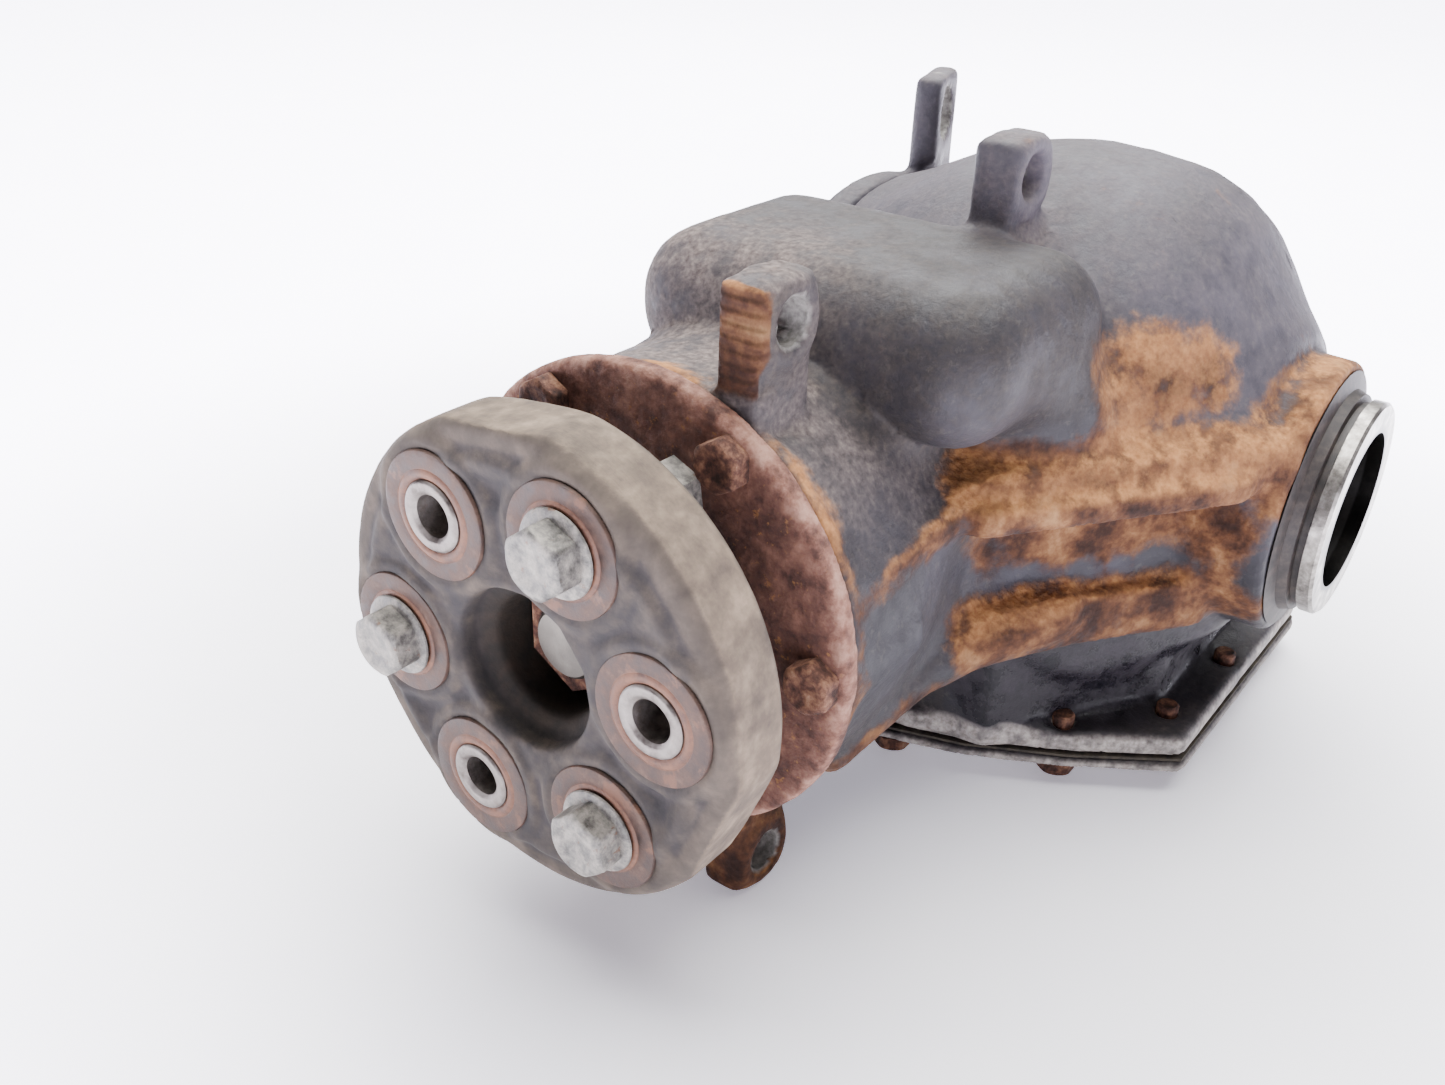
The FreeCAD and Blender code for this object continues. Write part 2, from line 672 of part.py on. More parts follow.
def small_gears():
    """Two side gears on the axle and two spider gears on the cross pin."""
    side, spider = int(value("side_teeth")), int(value("spider_teeth"))
    along_y, along_z = Vector(0, 1, 0), Vector(0, 0, 1)
    to_right = Rotation(along_y, along_z, Vector(), "XYZ")
    to_left = Rotation(-along_y, along_z, Vector(), "XYZ")
    to_top = Rotation(along_z, along_y, Vector(), "XYZ")
    to_foot = Rotation(-along_z, along_y, Vector(), "XYZ")
    spline = value("hub_bore") - 3.5
    small_gear("right_side_gear", side, spider, spline, to_right, 0, None)
    small_gear("left_side_gear", side, spider, spline, to_left, 0, None)
    crown = value("case_bore") - 1.35
    bore = value("cross_pin_r") + GAP
    small_gear("upper_spider_gear", spider, side, bore, to_top, math.pi / spider, crown)
    small_gear("lower_spider_gear", spider, side, bore, to_foot, math.pi / spider, crown)


# ---------------------------------------------------------------- housing

def diagonal_y(x, step):
    """Return y on the housing's slanting front-right wall, stepped out by some millimetres."""
    return f"corner_y + (corner_x - ({x})) * corner_slope + ({step}) * slant_stretch"


def diagonal_x(y, step):
    """Return x on the same wall at a given y."""
    return f"corner_x - (({y}) - ({step}) * slant_stretch - corner_y) / corner_slope"


def slanted_layer(name, step, low, high, side):
    """Block out one storey of the front-right wall, from the nose to the axle."""
    front = "corner_x + 5"
    return prism(name, [("axle_x", "30"), (front, "30"), (front, diagonal_y(front, step)),
                        (diagonal_x(side, step), side), ("axle_x", side)], low, high)


def outside_slant(name, step, low, high):
    """Block out all that lies in front of the slanting wall."""
    return prism(name, [("-90", diagonal_y("-90", step)), ("-90", "200"),
                        (diagonal_x("200", step), "200")], low, high)


def drum():
    """Round body about the axle, cut back on its lower front right."""
    body = on_axle("drum_body", [
        ("left_face", "0"), ("boss_end - 16", "0"), ("boss_end - 16", "boss_outer + 5"),
        ("boss_end - 28", "68"), ("boss_end - 35", "78"), ("92", "88.5"), ("80", "97"), ("67", "102"),
        ("50", "drum_outer - 1"), ("30", "drum_outer"), ("14", "drum_outer - 2"),
        ("0", "drum_outer - 5.5"), ("-30", "drum_outer - 20"), ("left_face", "left_flange")])
    below = prism("below_drum", [("-450", "-150"), ("0", "-150"), ("0", "200"), ("-450", "200")],
                  "-130", "flange_bottom")
    return cut("drum_trimmed", body, [below, outside_slant("slant_cut", "-7", "-130", "rib_low")])


def ear(name, x, z, face, root_z):
    """Square block and barrel of one mounting ear that stands off the housing."""
    low = f"({face}) - ear_width"
    barrel = rod(name + "_barrel", TURN_TO_Y, "ear_outer", "ear_width", x, low, z)
    block = doc.addObject("Part::Box", name + "_block")
    bind(block, "Length", "ear_outer * 2")
    bind(block, "Width", "ear_width - ear_step")
    bind(block, "Height", f"abs(({z}) - ({root_z})) + ear_crown")
    place(block, Rotation(), f"({x}) - ear_outer", low, f"min(({z}) - ear_crown; ({root_z}))")
    return [barrel, block]


def hump_block(name, inset):
    """Rounded pod across the top of the nose."""
    box = doc.addObject("Part::Box", name + "_box")
    bind(box, "Length", f"hump_length - {inset} * 2")
    bind(box, "Width", f"hump_width - {inset} * 2")
    bind(box, "Height", f"hump_height - {inset} * 2")
    place(box, Rotation(), f"hump_rear + {inset}", f"hump_left + {inset}",
          f"hump_top - hump_height + {inset}")
    doc.recompute()
    rounded = doc.addObject("Part::Fillet", name)
    rounded.Base = box
    radius = value(f"hump_round - {inset}")
    rounded.Edges = [(index, radius, radius) for index in range(1, 13)]
    return rounded


def cover_outline(grow):
    """Return the plan outline shared by the lower flange, the gasket and the cover."""
    return [(f"rim_front + {grow}", f"rim_left - {grow}"), (f"rim_front + {grow}", "25"),
            (f"-160 + {grow}", "60"), (f"-178 + {grow}", "92"),
            (f"-202 + {grow}", f"rim_side + {grow}"), (f"rim_rear + 25 - {grow}", f"rim_side + {grow}"),
            (f"rim_rear - {grow}", f"rim_side - 25 + {grow}"), (f"rim_rear - {grow}", f"rim_left - {grow}")]


def opening_outline():
    """Return the plan outline of the lower opening."""
    wall = "cast_wall"
    return [(f"front_wall - {wall}", f"left_face + {wall}"),
            (f"front_wall - {wall}", diagonal_y(f"front_wall - {wall}", "-20")),
            (diagonal_x(f"side_wall - {wall}", "-20"), f"side_wall - {wall}"),
            (f"rear_wall + corner_cut + {wall} * 0.4", f"side_wall - {wall}"),
            (f"rear_wall + {wall}", f"side_wall - corner_cut - {wall} * 0.4"),
            (f"rear_wall + {wall}", f"left_face + {wall}")]


def cover_bolt_spots():
    """Return the (x, y) of each bolt round the lower cover."""
    front, rear, left, right = "rim_front - 7", "rim_rear + 7", "rim_left + 7", "rim_side - 8"
    return [("-158", "32"), (front, "-20"), ("-184", "86"), ("-214", "rim_side - 12"),
            ("-262", right), ("-310", right), (rear, "70"), (rear, "0"), ("-335", left),
            ("-175", left)]


def housing_solids():
    """Return every block and barrel that the casting is made of."""
    boss = rod("right_boss", TURN_TO_Y, "boss_outer", "boss_end - 90", "axle_x", "90")
    nose = turned("nose_body", [
        ("-200", "0"), ("front_face", "0"), ("front_face", "nose_front + 2"),
        ("front_face - 5", "nose_front + 2"), ("front_face - 7", "nose_front"), ("-95", "nose_front - 1"),
        ("-135", "nose_rear"), ("-200", "nose_rear - 4")])
    lower = prism("lower_box", [
        ("front_wall", "left_face"), ("front_wall", diagonal_y("front_wall", "-12")),
        (diagonal_x("side_wall", "-12"), "side_wall"), ("rear_wall + corner_cut", "side_wall"),
        ("rear_wall", "side_wall - corner_cut"), ("rear_wall", "left_face")],
        "flange_bottom + 1", "-15")
    flange = prism("lower_flange", cover_outline(0), "flange_bottom", "flange_bottom + flange_thick")
    storeys = [
        slanted_layer("lower_rib", "0", "rib_floor - 20", "rib_floor", "118"),
        slanted_layer("pocket_wall", "-7", "rib_floor - 2", "rib_low + 2", "118"),
        slanted_layer("upper_rib", "17", "rib_low", "rib_low + 9", "128"),
        slanted_layer("upper_rib_top", "8", "rib_low + 8", "rib_low + 15", "122")]
    plug_boss = rod("fill_boss", TURN_TO_X, "16", "30", "plug_face", "40", "-20")
    details = [
        rod("breather_boss", Rotation(), "9", f"24 - {GAP}", "-330", "15", "54"),
        rod("nose_boss", TURN_TO_X, "12", "41", "-98", "60", "-5"),
        rod("nose_ledge", TURN_TO_X, "5.5", "82", "-142", "62", "21"),
        rod("rib_web", Rotation(), "9", "24", "-152", "60", "24"),
        rod("pod_end", Rotation(), "14", "30", "-162", "66", "36")]
    ears = (ear("upper_front_ear", "front_ear_x", "front_ear_z", "ear_face", "50")
            + ear("lower_front_ear", "front_ear_x", "-front_ear_z", "ear_face", "-50")
            + ear("upper_rear_ear", "rear_ear_x", "rear_ear_z", "rear_ear_face", "70"))
    return [drum(), boss, nose, hump_block("hump", 0), lower, flange, plug_boss] + details + storeys + ears


def housing_hollows():
    """Return everything that is cut out of the casting."""
    inside = cut("drum_inside", on_axle("drum_hollow", [
        ("left_face + 8", "0"), ("left_face + 8", "66"), ("-22", "78"), ("0", "drum_outer - 14"),
        ("30", "drum_outer - 8"), ("58", "drum_outer - 9.5"), ("79", "89"),
        ("101", "60"), ("101", "boss_outer + 1"), ("84", "boss_outer + 1"), ("84", "0")]),
        [outside_slant("slant_inside", "-14", "-130", "rib_low + 6")])
    opening = prism("lower_opening", opening_outline(), "flange_bottom - 5", "-15 - cast_wall")
    pinion_bores = turned("pinion_bores", [
        ("-200", "0"), ("-40", "0"), ("-40", "front_bearing_outer"),
        ("front_bearing_rear", "front_bearing_outer"), ("front_bearing_rear", "front_bearing_outer - 4"),
        ("head_bearing_front + 1.6", "front_bearing_outer - 4"),
        ("head_bearing_front + 1.6", "head_bearing_outer"), ("-200", "head_bearing_outer")])
    tools = [
        inside, opening, pinion_bores, hump_block("hump_inside", 7),
        rod("left_cover_bore", TURN_TO_Y, "left_bore", "20", "axle_x", "left_face - 5"),
        rod("left_cover_room", TURN_TO_Y, "left_flange + 1", "60", "axle_x", "left_face - 60"),
        rod("right_cup_bore", TURN_TO_Y, "carrier_bearing_outer", "60", "axle_x", "80"),
        rod("fill_hole", TURN_TO_X, f"9 + {GAP}", "60", "plug_face - 5", "40", "-20"),
        rod("drain_hole", TURN_TO_X, f"8 + {GAP}", "20", "rear_wall - 5", "20", "-63"),
        rod("breather_hole", Rotation(), f"5 + {GAP}", "60", "-330", "15", "50"),
        rod("upper_ear_bore", TURN_TO_Y, "ear_bore", "40", "front_ear_x", "ear_face - 30", "front_ear_z"),
        rod("lower_ear_bore", TURN_TO_Y, "ear_bore", "40", "front_ear_x", "ear_face - 30",
            "-front_ear_z"),
        rod("rear_ear_hole", TURN_TO_Y, "rear_ear_bore", "40", "rear_ear_x", "rear_ear_face - 30",
            "rear_ear_z")]
    for index in range(FRONT_BOLTS):
        y, z = around_x("front_bolt_circle", 60 * index)
        tools.append(rod(f"nose_hole_{index}", TURN_TO_X, f"4 + {GAP}", "30", "front_face - 20", y, z))
    for index in range(SIDE_BOLTS):
        x, z = around_y("side_bolt_circle", 45 * index + 22.5)
        tools.append(rod(f"side_hole_{index}", TURN_TO_Y, f"4 + {GAP}", "18", x, "left_face - 2", z))
    for index, (x, y) in enumerate(cover_bolt_spots()):
        tools.append(rod(f"rim_hole_{index}", Rotation(), f"4 + {GAP}", "18", x, y, "flange_bottom - 5"))
    return tools


def housing():
    """Main casting, hollow and open below, at the left side and at the nose."""
    node(cut("casting", fused("casting_solids", housing_solids()), housing_hollows()), "housing")


# ---------------------------------------------------------------- covers and fittings

def bottom_cover():
    """Cover plate, gasket and bolts under the housing."""
    top = "flange_bottom - gasket_thick"
    low = f"{top} - cover_thick"
    plate = prism("cover_plate", cover_outline("1.5"), low, top)
    sheet_ring = prism("gasket_sheet", cover_outline("0"), top, "flange_bottom")
    window = prism("gasket_window", opening_outline(), f"{top} - 2", "flange_bottom + 2")
    plate_holes, gasket_holes, bolts = [], [window], []
    for index, (x, y) in enumerate(cover_bolt_spots()):
        hole = rod(f"cover_hole_{index}", Rotation(), f"4 + {GAP}", "20", x, y, f"{low} - 5")
        plate_holes.append(hole)
        gasket_holes.append(rod(f"gasket_hole_{index}", Rotation(), f"4 + {GAP}", "20", x, y,
                                f"{low} - 5"))
        head = hexagon(f"cover_bolt_head_{index}", Rotation(), "13", "5.5", x, y, f"{low} - 5.5")
        shank = rod(f"cover_bolt_shank_{index}", Rotation(), "4", "19", x, y, f"{low} - 0.5")
        bolts.append(fused(f"cover_bolt_{index}", [head, shank]))
    node(cut("cover_body", plate, plate_holes), "bottom_cover")
    node(cut("gasket_body", sheet_ring, gasket_holes), "cover_gasket")
    group("cover_bolts", bolts)


def front_cover():
    """Round plate that closes the nose round the input flange, with its bolts."""
    plate = turned("front_cover_body", ring_points("front_face", "front_face + front_cover_thick",
                                                   "flange_hub + 2", "front_cover_outer"))
    holes, bolts = [], []
    seat = "front_face + front_cover_thick"
    for index in range(FRONT_BOLTS):
        angle = 60 * index
        y, z = around_x("front_bolt_circle", angle)
        holes.append(rod(f"front_hole_{index}", TURN_TO_X, f"4 + {GAP}", "20", "front_face - 5", y, z))
        head = hexagon(f"front_head_{index}", Rotation(Vector(1, 0, 0), angle) * TURN_TO_X, "14",
                       "6.5", seat, y, z)
        shank = rod(f"front_shank_{index}", TURN_TO_X, "4", "25", f"{seat} - 24.5", y, z)
        bolts.append(fused(f"front_bolt_{index}", [head, shank]))
    node(cut("front_cover_plate", plate, holes), "front_cover")
    group("front_cover_bolts", bolts)


def left_side_cover():
    """Bearing cover on the left, with a lug for the rear mount."""
    cup_end = "left_bearing_in - carrier_bearing_width"
    body = on_axle("side_cover_body", [
        ("left_output_face", "output_bore"), ("left_output_face + 18", "output_bore"),
        ("left_output_face + 18", "31"), (f"{cup_end} - 2", "31"),
        (f"{cup_end} - 2", "carrier_bearing_outer"), ("left_face - 9", "carrier_bearing_outer"),
        ("left_face - 9", "left_bore - 6"), ("left_face + 9", "left_bore - 6"),
        ("left_face + 9", "left_bore - 1"), ("left_face + 6", f"left_bore - {GAP}"),
        ("left_face + 5", f"left_bore - {GAP}"), ("left_face + 5", "left_bore - 2.5"),
        ("left_face + 2", "left_bore - 2.5"), ("left_face + 2", f"left_bore - {GAP}"),
        (f"left_face - {GAP}", f"left_bore - {GAP}"), (f"left_face - {GAP}", "left_flange"),
        ("left_face - 12", "left_flange"), ("left_face - 12", "left_flange - 20"),
        (f"{cup_end} - 4", "boss_outer + 3"), (f"{cup_end} - 8", "collar_outer + 3"),
        ("left_output_face", "collar_outer")])
    lug = doc.addObject("Part::Box", "lug_block")
    bind(lug, "Length", "34")
    bind(lug, "Width", "lug_thick")
    bind(lug, "Height", "60")
    turn = Rotation(Vector(0, 0, 1), value("lug_turn"))
    place(lug, turn, "lug_x - 17 * cos(lug_turn) + lug_thick / 2 * sin(lug_turn)",
          "lug_y - 17 * sin(lug_turn) - lug_thick / 2 * cos(lug_turn)", "lug_z - 45")
    lug = cut("lug_fitted", lug, [rod("lug_relief", TURN_TO_Y, "left_flange + 5", "20", "axle_x",
                                      f"left_face - {GAP}")])
    eye_turn = turn * TURN_TO_Y
    crown = rod("lug_hole", eye_turn, "lug_bore", "60", "lug_x + 30 * sin(lug_turn)",
                "lug_y - 30 * cos(lug_turn)", "lug_z")
    holes = [crown]
    bolts = []
    for index in range(SIDE_BOLTS):
        x, z = around_y("side_bolt_circle", 45 * index + 22.5)
        holes.append(rod(f"side_cover_hole_{index}", TURN_TO_Y, f"4 + {GAP}", "30", x,
                         "left_face - 20", z))
        head = hexagon(f"side_head_{index}", TURN_TO_Y, "13", "6", x, "left_face - 18", z)
        shank = rod(f"side_shank_{index}", TURN_TO_Y, "4", "26", x, "left_face - 12.5", z)
        bolts.append(fused(f"side_bolt_{index}", [head, shank]))
    node(cut("side_cover", fused("side_cover_solids", [body, lug]), holes), "left_side_cover")
    group("left_cover_bolts", bolts)
    node(on_axle("side_ring_body", ring_points("left_face + 2.1", "left_face + 4.9",
                                               "left_bore - 2.4", f"left_bore - {GAP}")),
         "left_cover_seal_ring")


def output_ends():
    """Collar in the right boss, with both output seals and the carrier shims."""
    inner = "right_bearing_in + carrier_bearing_width + 2"
    node(on_axle("collar_body", [
        (inner, "31"), (f"{inner} + 12", "31"), (f"{inner} + 12", "output_bore"),
        ("right_face", "output_bore"), ("right_face", "collar_outer - 1"),
        ("right_face - 1", "collar_outer"), ("right_face - 5", "collar_outer"),
        ("right_face - 5.5", "collar_outer - 1.6"), ("right_face - 7.5", "collar_outer - 1.6"),
        ("right_face - 8", "collar_outer + 0.8"), ("boss_end + 1.5", "collar_outer + 2"),
        (f"boss_end + {GAP}", "boss_outer - 3"), (f"boss_end + {GAP}", f"carrier_bearing_outer - {GAP}"),
        (inner, f"carrier_bearing_outer - {GAP}")]), "right_axle_collar")
    for side, start, sign in (("right", f"{inner} + 1", "+"),
                              ("left", "left_bearing_in - carrier_bearing_width - 3", "-")):
        node(on_axle(f"{side}_seal_body", [
            (start, f"31 - {GAP}"), (start, "28"), (f"{start} {sign} 3", "27"),
            (f"{start} {sign} 4", "20"), (f"{start} {sign} 6", "18.5"), (f"{start} {sign} 7", "21"),
            (f"{start} {sign} 9", "27"), (f"{start} {sign} 9", f"31 - {GAP}")]), f"{side}_oil_seal")
        cup_end = f"{side}_bearing_in {sign} carrier_bearing_width"
        node(on_axle(f"{side}_shim_body", ring_points(
            f"{cup_end} {sign} {GAP}", f"{cup_end} {sign} 1.9", "33", "carrier_bearing_outer - 0.2")),
            f"{side}_carrier_shim")


def plug(name, hole_r, x, y, z):
    """Make a screwed plug and its sealing washer on a rearward face."""
    washer = cut(f"{name}_washer_body", rod(f"{name}_disc", TURN_TO_X, f"{hole_r} + 4", "1.5",
                                            f"{x} - 1.5", y, z),
                 [rod(f"{name}_eye", TURN_TO_X, f"{hole_r} + {GAP}", "10", f"{x} - 5", y, z)])
    node(washer, name + "_washer")
    head = hexagon(f"{name}_head", TURN_TO_X, f"{hole_r} * 2", "6", f"{x} - 7.5", y, z)
    shank = rod(f"{name}_shank", TURN_TO_X, hole_r, "14", f"{x} - 2", y, z)
    node(fused(f"{name}_body", [head, shank]), name)


def fittings():
    """Filler and drain plugs at the rear, and the breather."""
    plug("fill_plug", "9", "plug_face", "40", "-20")
    plug("drain_plug", "8", "rear_wall", "20", "-63")
    stem = rod("breather_stem", Rotation(), "5", "16", "-330", "15", "64")
    cap = rod("breather_cap", Rotation(), "8", "6", "-330", "15", "78")
    node(fused("breather_body", [stem, cap]), "breather")


def check_and_write():
    """Stop on any failed object or bad shape, then write each node's file."""
    doc.recompute()
    for item in doc.Objects:
        if "Invalid" in item.State or "Error" in item.State:
            raise SystemExit(f"{item.Name} ({item.Label}) failed: {item.State}")
    os.makedirs("parts", exist_ok=True)
    for name, item in nodes.items():
        if item.Shape.isNull() or not item.Shape.isValid():
            raise SystemExit(f"{name} has a bad shape")
        item.Shape.exportStep(os.path.join("parts", name + ".step"))
        print(f"{name}: {len(item.Shape.Solids)} solids, {item.Shape.Volume / 1000:.1f} cm3")


def main():
    """Build every sub-part."""
    fill_sheet()
    housing()
    bottom_cover()
    front_cover()
    left_side_cover()
    output_ends()
    fittings()
    flex_coupling()
    coupling_sleeves()
    coupling_fasteners()
    input_flange()
    pinion_shaft()
    pinion_parts()
    carrier_case()
    ring_gear()
    carrier_parts()
    small_gears()
    check_and_write()


main()
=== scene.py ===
"""Looks of a used final-drive differential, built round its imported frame."""

import json
import math
from collections import namedtuple

import bpy
import numpy as np
import openvdb
from mathutils import Matrix, Vector

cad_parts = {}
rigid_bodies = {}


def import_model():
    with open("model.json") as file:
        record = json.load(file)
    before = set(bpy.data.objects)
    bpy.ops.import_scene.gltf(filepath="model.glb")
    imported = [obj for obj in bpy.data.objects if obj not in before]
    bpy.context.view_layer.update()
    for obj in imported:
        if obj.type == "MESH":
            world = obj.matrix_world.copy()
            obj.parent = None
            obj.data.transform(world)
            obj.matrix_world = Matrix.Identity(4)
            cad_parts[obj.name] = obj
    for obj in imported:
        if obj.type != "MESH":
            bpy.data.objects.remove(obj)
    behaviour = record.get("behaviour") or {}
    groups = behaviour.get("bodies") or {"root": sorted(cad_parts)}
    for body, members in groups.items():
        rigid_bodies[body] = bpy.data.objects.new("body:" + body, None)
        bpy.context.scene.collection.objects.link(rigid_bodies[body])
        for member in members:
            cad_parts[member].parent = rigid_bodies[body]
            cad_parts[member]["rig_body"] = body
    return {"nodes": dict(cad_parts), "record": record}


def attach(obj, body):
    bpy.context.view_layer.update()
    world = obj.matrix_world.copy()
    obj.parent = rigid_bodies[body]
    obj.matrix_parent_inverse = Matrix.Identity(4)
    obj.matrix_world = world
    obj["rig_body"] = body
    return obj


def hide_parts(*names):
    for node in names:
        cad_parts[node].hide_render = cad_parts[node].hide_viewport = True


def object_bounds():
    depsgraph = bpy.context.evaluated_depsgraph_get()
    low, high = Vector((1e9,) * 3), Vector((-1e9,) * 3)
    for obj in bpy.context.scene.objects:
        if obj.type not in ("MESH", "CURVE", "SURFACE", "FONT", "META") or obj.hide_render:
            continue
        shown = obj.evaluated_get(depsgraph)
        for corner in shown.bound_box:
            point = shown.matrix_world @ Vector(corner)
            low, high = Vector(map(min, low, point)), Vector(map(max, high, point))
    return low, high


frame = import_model()
cad_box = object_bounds()

MM = 0.001
SLOT_OF = {part["node"]: part["material_slot"] for part in frame["record"]["subparts"]}
BODY_OF = {node: obj["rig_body"] for node, obj in frame["nodes"].items()}
MOUNTS = {mount["name"]: mount for mount in frame["record"]["mounts"]}
AXLE_X = MOUNTS["right_output_bore"]["pos_m"][0] * 1000
# millimetres: where the collar's bright end and its painted shade inside begin, and the circle of the
# sleeves
COLLAR_END_Y, COLLAR_INNER_R = 144, 30
SLEEVE_CIRCLE = 48.0
OPEN_SLEEVES = [math.radians(8 + 120 * index) for index in range(3)]
BOLTED_SLEEVES = [math.radians(68 + 120 * index) for index in range(3)]


# ------------------------------------------------------------ reading the frame

def node_points(name):
    """Vertices of a CAD node, in millimetres."""
    mesh = frame["nodes"][name].data
    points = np.empty(len(mesh.vertices) * 3, np.float32)
    mesh.vertices.foreach_get("co", points)
    return points.reshape(-1, 3) * 1000


def node_triangles(name):
    """Vertex numbers of a CAD node's triangles."""
    mesh = frame["nodes"][name].data
    mesh.calc_loop_triangles()
    corners = np.empty(len(mesh.loop_triangles) * 3, np.int32)
    mesh.loop_triangles.foreach_get("vertices", corners)
    return corners.reshape(-1, 3)


def solids_of(name):
    """Vertices of each separate solid in a CAD node, in millimetres."""
    points = node_points(name)
    _, welded = np.unique(np.round(points, 3), axis=0, return_inverse=True)
    welded = welded.ravel()
    links = welded[node_triangles(name)]
    label = np.arange(welded.max() + 1)
    while True:
        lowest = label[links].min(axis=1)
        joined = label.copy()
        for column in range(3):
            np.minimum.at(joined, links[:, column], lowest)
        joined = joined[joined]
        if (joined == label).all():
            return [points[label[welded] == mark] for mark in np.unique(label)]
        label = joined


# ------------------------------------------------------------ shaping on a lattice

def smooth_step(value, low, high):
    """0 below low, 1 above high, eased in between."""
    share = np.clip((value - low) / (high - low), 0, 1)
    return share * share * (3 - 2 * share)


def blurred(values, reach, passes=2):
    """Average a lattice over reach cells each way, a few times along each axis."""
    for axis in range(3):
        values = np.moveaxis(values, axis, 0)
        for _ in range(passes):
            ends = [np.repeat(values[:1], reach + 1, 0), values, np.repeat(values[-1:], reach, 0)]
            sums = np.cumsum(np.concatenate(ends), axis=0, dtype=np.float64)
            values = ((sums[2 * reach + 1:] - sums[:-2 * reach - 1]) / (2 * reach + 1)).astype(np.float32)
        values = np.moveaxis(values, 0, axis)
    return values


def smooth_union(one, other, blend):
    """Join two distances with a fillet about as wide as blend."""
    share = np.clip(0.5 + 0.5 * (other - one) / blend, 0, 1)
    return other * (1 - share) + one * share - blend * share * (1 - share)


class Field:
    """Signed distance in millimetres on a lattice round some CAD nodes."""

    def __init__(self, names, voxel, reach, margin=9):
        points = np.concatenate([node_points(name) for name in names])
        self.voxel, self.reach = voxel, reach
        self.start = np.floor((points.min(0) - margin) / voxel).astype(int)
        self.shape = np.ceil((points.max(0) + margin) / voxel).astype(int) - self.start
        axes = [(self.start[i] + np.arange(self.shape[i])) * voxel for i in range(3)]
        self.x, self.y, self.z = np.meshgrid(*[a.astype(np.float32) for a in axes],
                                             indexing="ij", sparse=True)
        self.values = self.distance(names)

    def distance(self, names):
        """Signed distance to CAD nodes, negative inside them."""
        points, triangles, count = [], [], 0
        for name in names:
            points.append(node_points(name))
            triangles.append(node_triangles(name) + count)
            count += len(points[-1])
        grid = openvdb.FloatGrid.createLevelSetFromPolygons(
            np.concatenate(points), triangles=np.concatenate(triangles).astype(np.uint32),
            transform=openvdb.createLinearTransform(voxelSize=self.voxel),
            halfWidth=self.reach / self.voxel)
        values = np.empty(self.shape, np.float32)
        grid.copyToArray(values, ijk=tuple(int(i) for i in self.start))
        return values

    def rod(self, start, end, start_r, end_r):
        """Distance to a round-ended rod that tapers from start to end."""
        start, along = np.array(start, float), np.subtract(end, start).astype(float)
        dx, dy, dz = self.x - start[0], self.y - start[1], self.z - start[2]
        share = np.clip((dx * along[0] + dy * along[1] + dz * along[2]) / (along @ along), 0, 1)
        gap = np.sqrt((dx - share * along[0]) ** 2 + (dy - share * along[1]) ** 2
                      + (dz - share * along[2]) ** 2)
        return gap - (start_r + share * (end_r - start_r))

    def slide_x(self, height, fixed, full):
        """Push the surface along X by a height, not at all at fixed and wholly at full."""
        share = np.clip((self.x - fixed) / (full - fixed), 0, 1)
        place = (self.x - height * share) / self.voxel - self.start[0]
        cell = np.clip(np.floor(place).astype(int), 0, self.shape[0] - 2)
        part = np.clip(place - cell, 0, 1)
        lower = np.take_along_axis(self.values, cell, 0)
        upper = np.take_along_axis(self.values, cell + 1, 0)
        self.values = (lower * (1 - part) + upper * part).astype(np.float32)

    def at(self, values, points):
        """Read a lattice between its cells."""
        place = points / self.voxel - self.start
        cell = np.clip(np.floor(place).astype(int), 0, self.shape - 2)
        part = np.clip(place - cell, 0, 1)
        total = np.zeros(len(points))
        for corner in np.ndindex(2, 2, 2):
            weight = np.prod(np.where(corner, part, 1 - part), axis=1)
            i, j, k = (cell + corner).T
            total += weight * values[i, j, k]
        return total

    def mesh(self, name, adaptivity=0.0):
        """Turn the zero surface into a mesh, and return it with its points in millimetres."""
        grid = openvdb.FloatGrid(self.reach)
        grid.copyFromArray(np.ascontiguousarray(self.values), ijk=tuple(int(i) for i in self.start))
        grid.transform = openvdb.createLinearTransform(voxelSize=self.voxel)
        points, triangles, quads = grid.convertToPolygons(isovalue=0.0, adaptivity=adaptivity)
        faces = np.concatenate([triangles.ravel(), quads.ravel()]).astype(np.int32)
        sizes = np.concatenate([np.full(len(triangles), 3), np.full(len(quads), 4)])
        mesh = bpy.data.meshes.new(name)
        mesh.vertices.add(len(points))
        mesh.loops.add(len(faces))
        mesh.polygons.add(len(sizes))
        mesh.vertices.foreach_set("co", (points * MM).ravel().astype(np.float32))
        mesh.loops.foreach_set("vertex_index", faces)
        starts = np.concatenate([[0], np.cumsum(sizes)[:-1]]).astype(np.int32)
        mesh.polygons.foreach_set("loop_start", starts)
        mesh.update(calc_edges=True)
        mesh.validate()
        return mesh, points.astype(np.float64)


def set_points(mesh, points):
    """Write millimetre points back to a mesh."""
    mesh.vertices.foreach_set("co", (points * MM).ravel().astype(np.float32))
    mesh.update()


def normals_of(mesh):
    """Vertex normals of a mesh."""
    found = np.empty(len(mesh.vertices) * 3, np.float32)
    mesh.vertex_normals.foreach_get("vector", found)
    return found.reshape(-1, 3)


def lumps(points, size, seed):
    """Smooth random values from -1 to 1 that change over about size millimetres."""
    count = 32
    table = np.random.default_rng(seed).uniform(-1, 1, (count, count, count))
    place = points / size
    cell = np.floor(place).astype(int)
    part = place - cell
    part = part * part * (3 - 2 * part)
    total = np.zeros(len(points))
    for corner in np.ndindex(2, 2, 2):
        weight = np.prod(np.where(corner, part, 1 - part), axis=1)
        i, j, k = ((cell + corner) % count).T
        total += weight * table[i, j, k]
    return total


def paint(mesh, name, values):
    """Store one value at each vertex for a material to read."""
    layer = mesh.attributes.new(name, "FLOAT", "POINT")
    layer.data.foreach_set("value", np.clip(values, 0, 1).astype(np.float32))


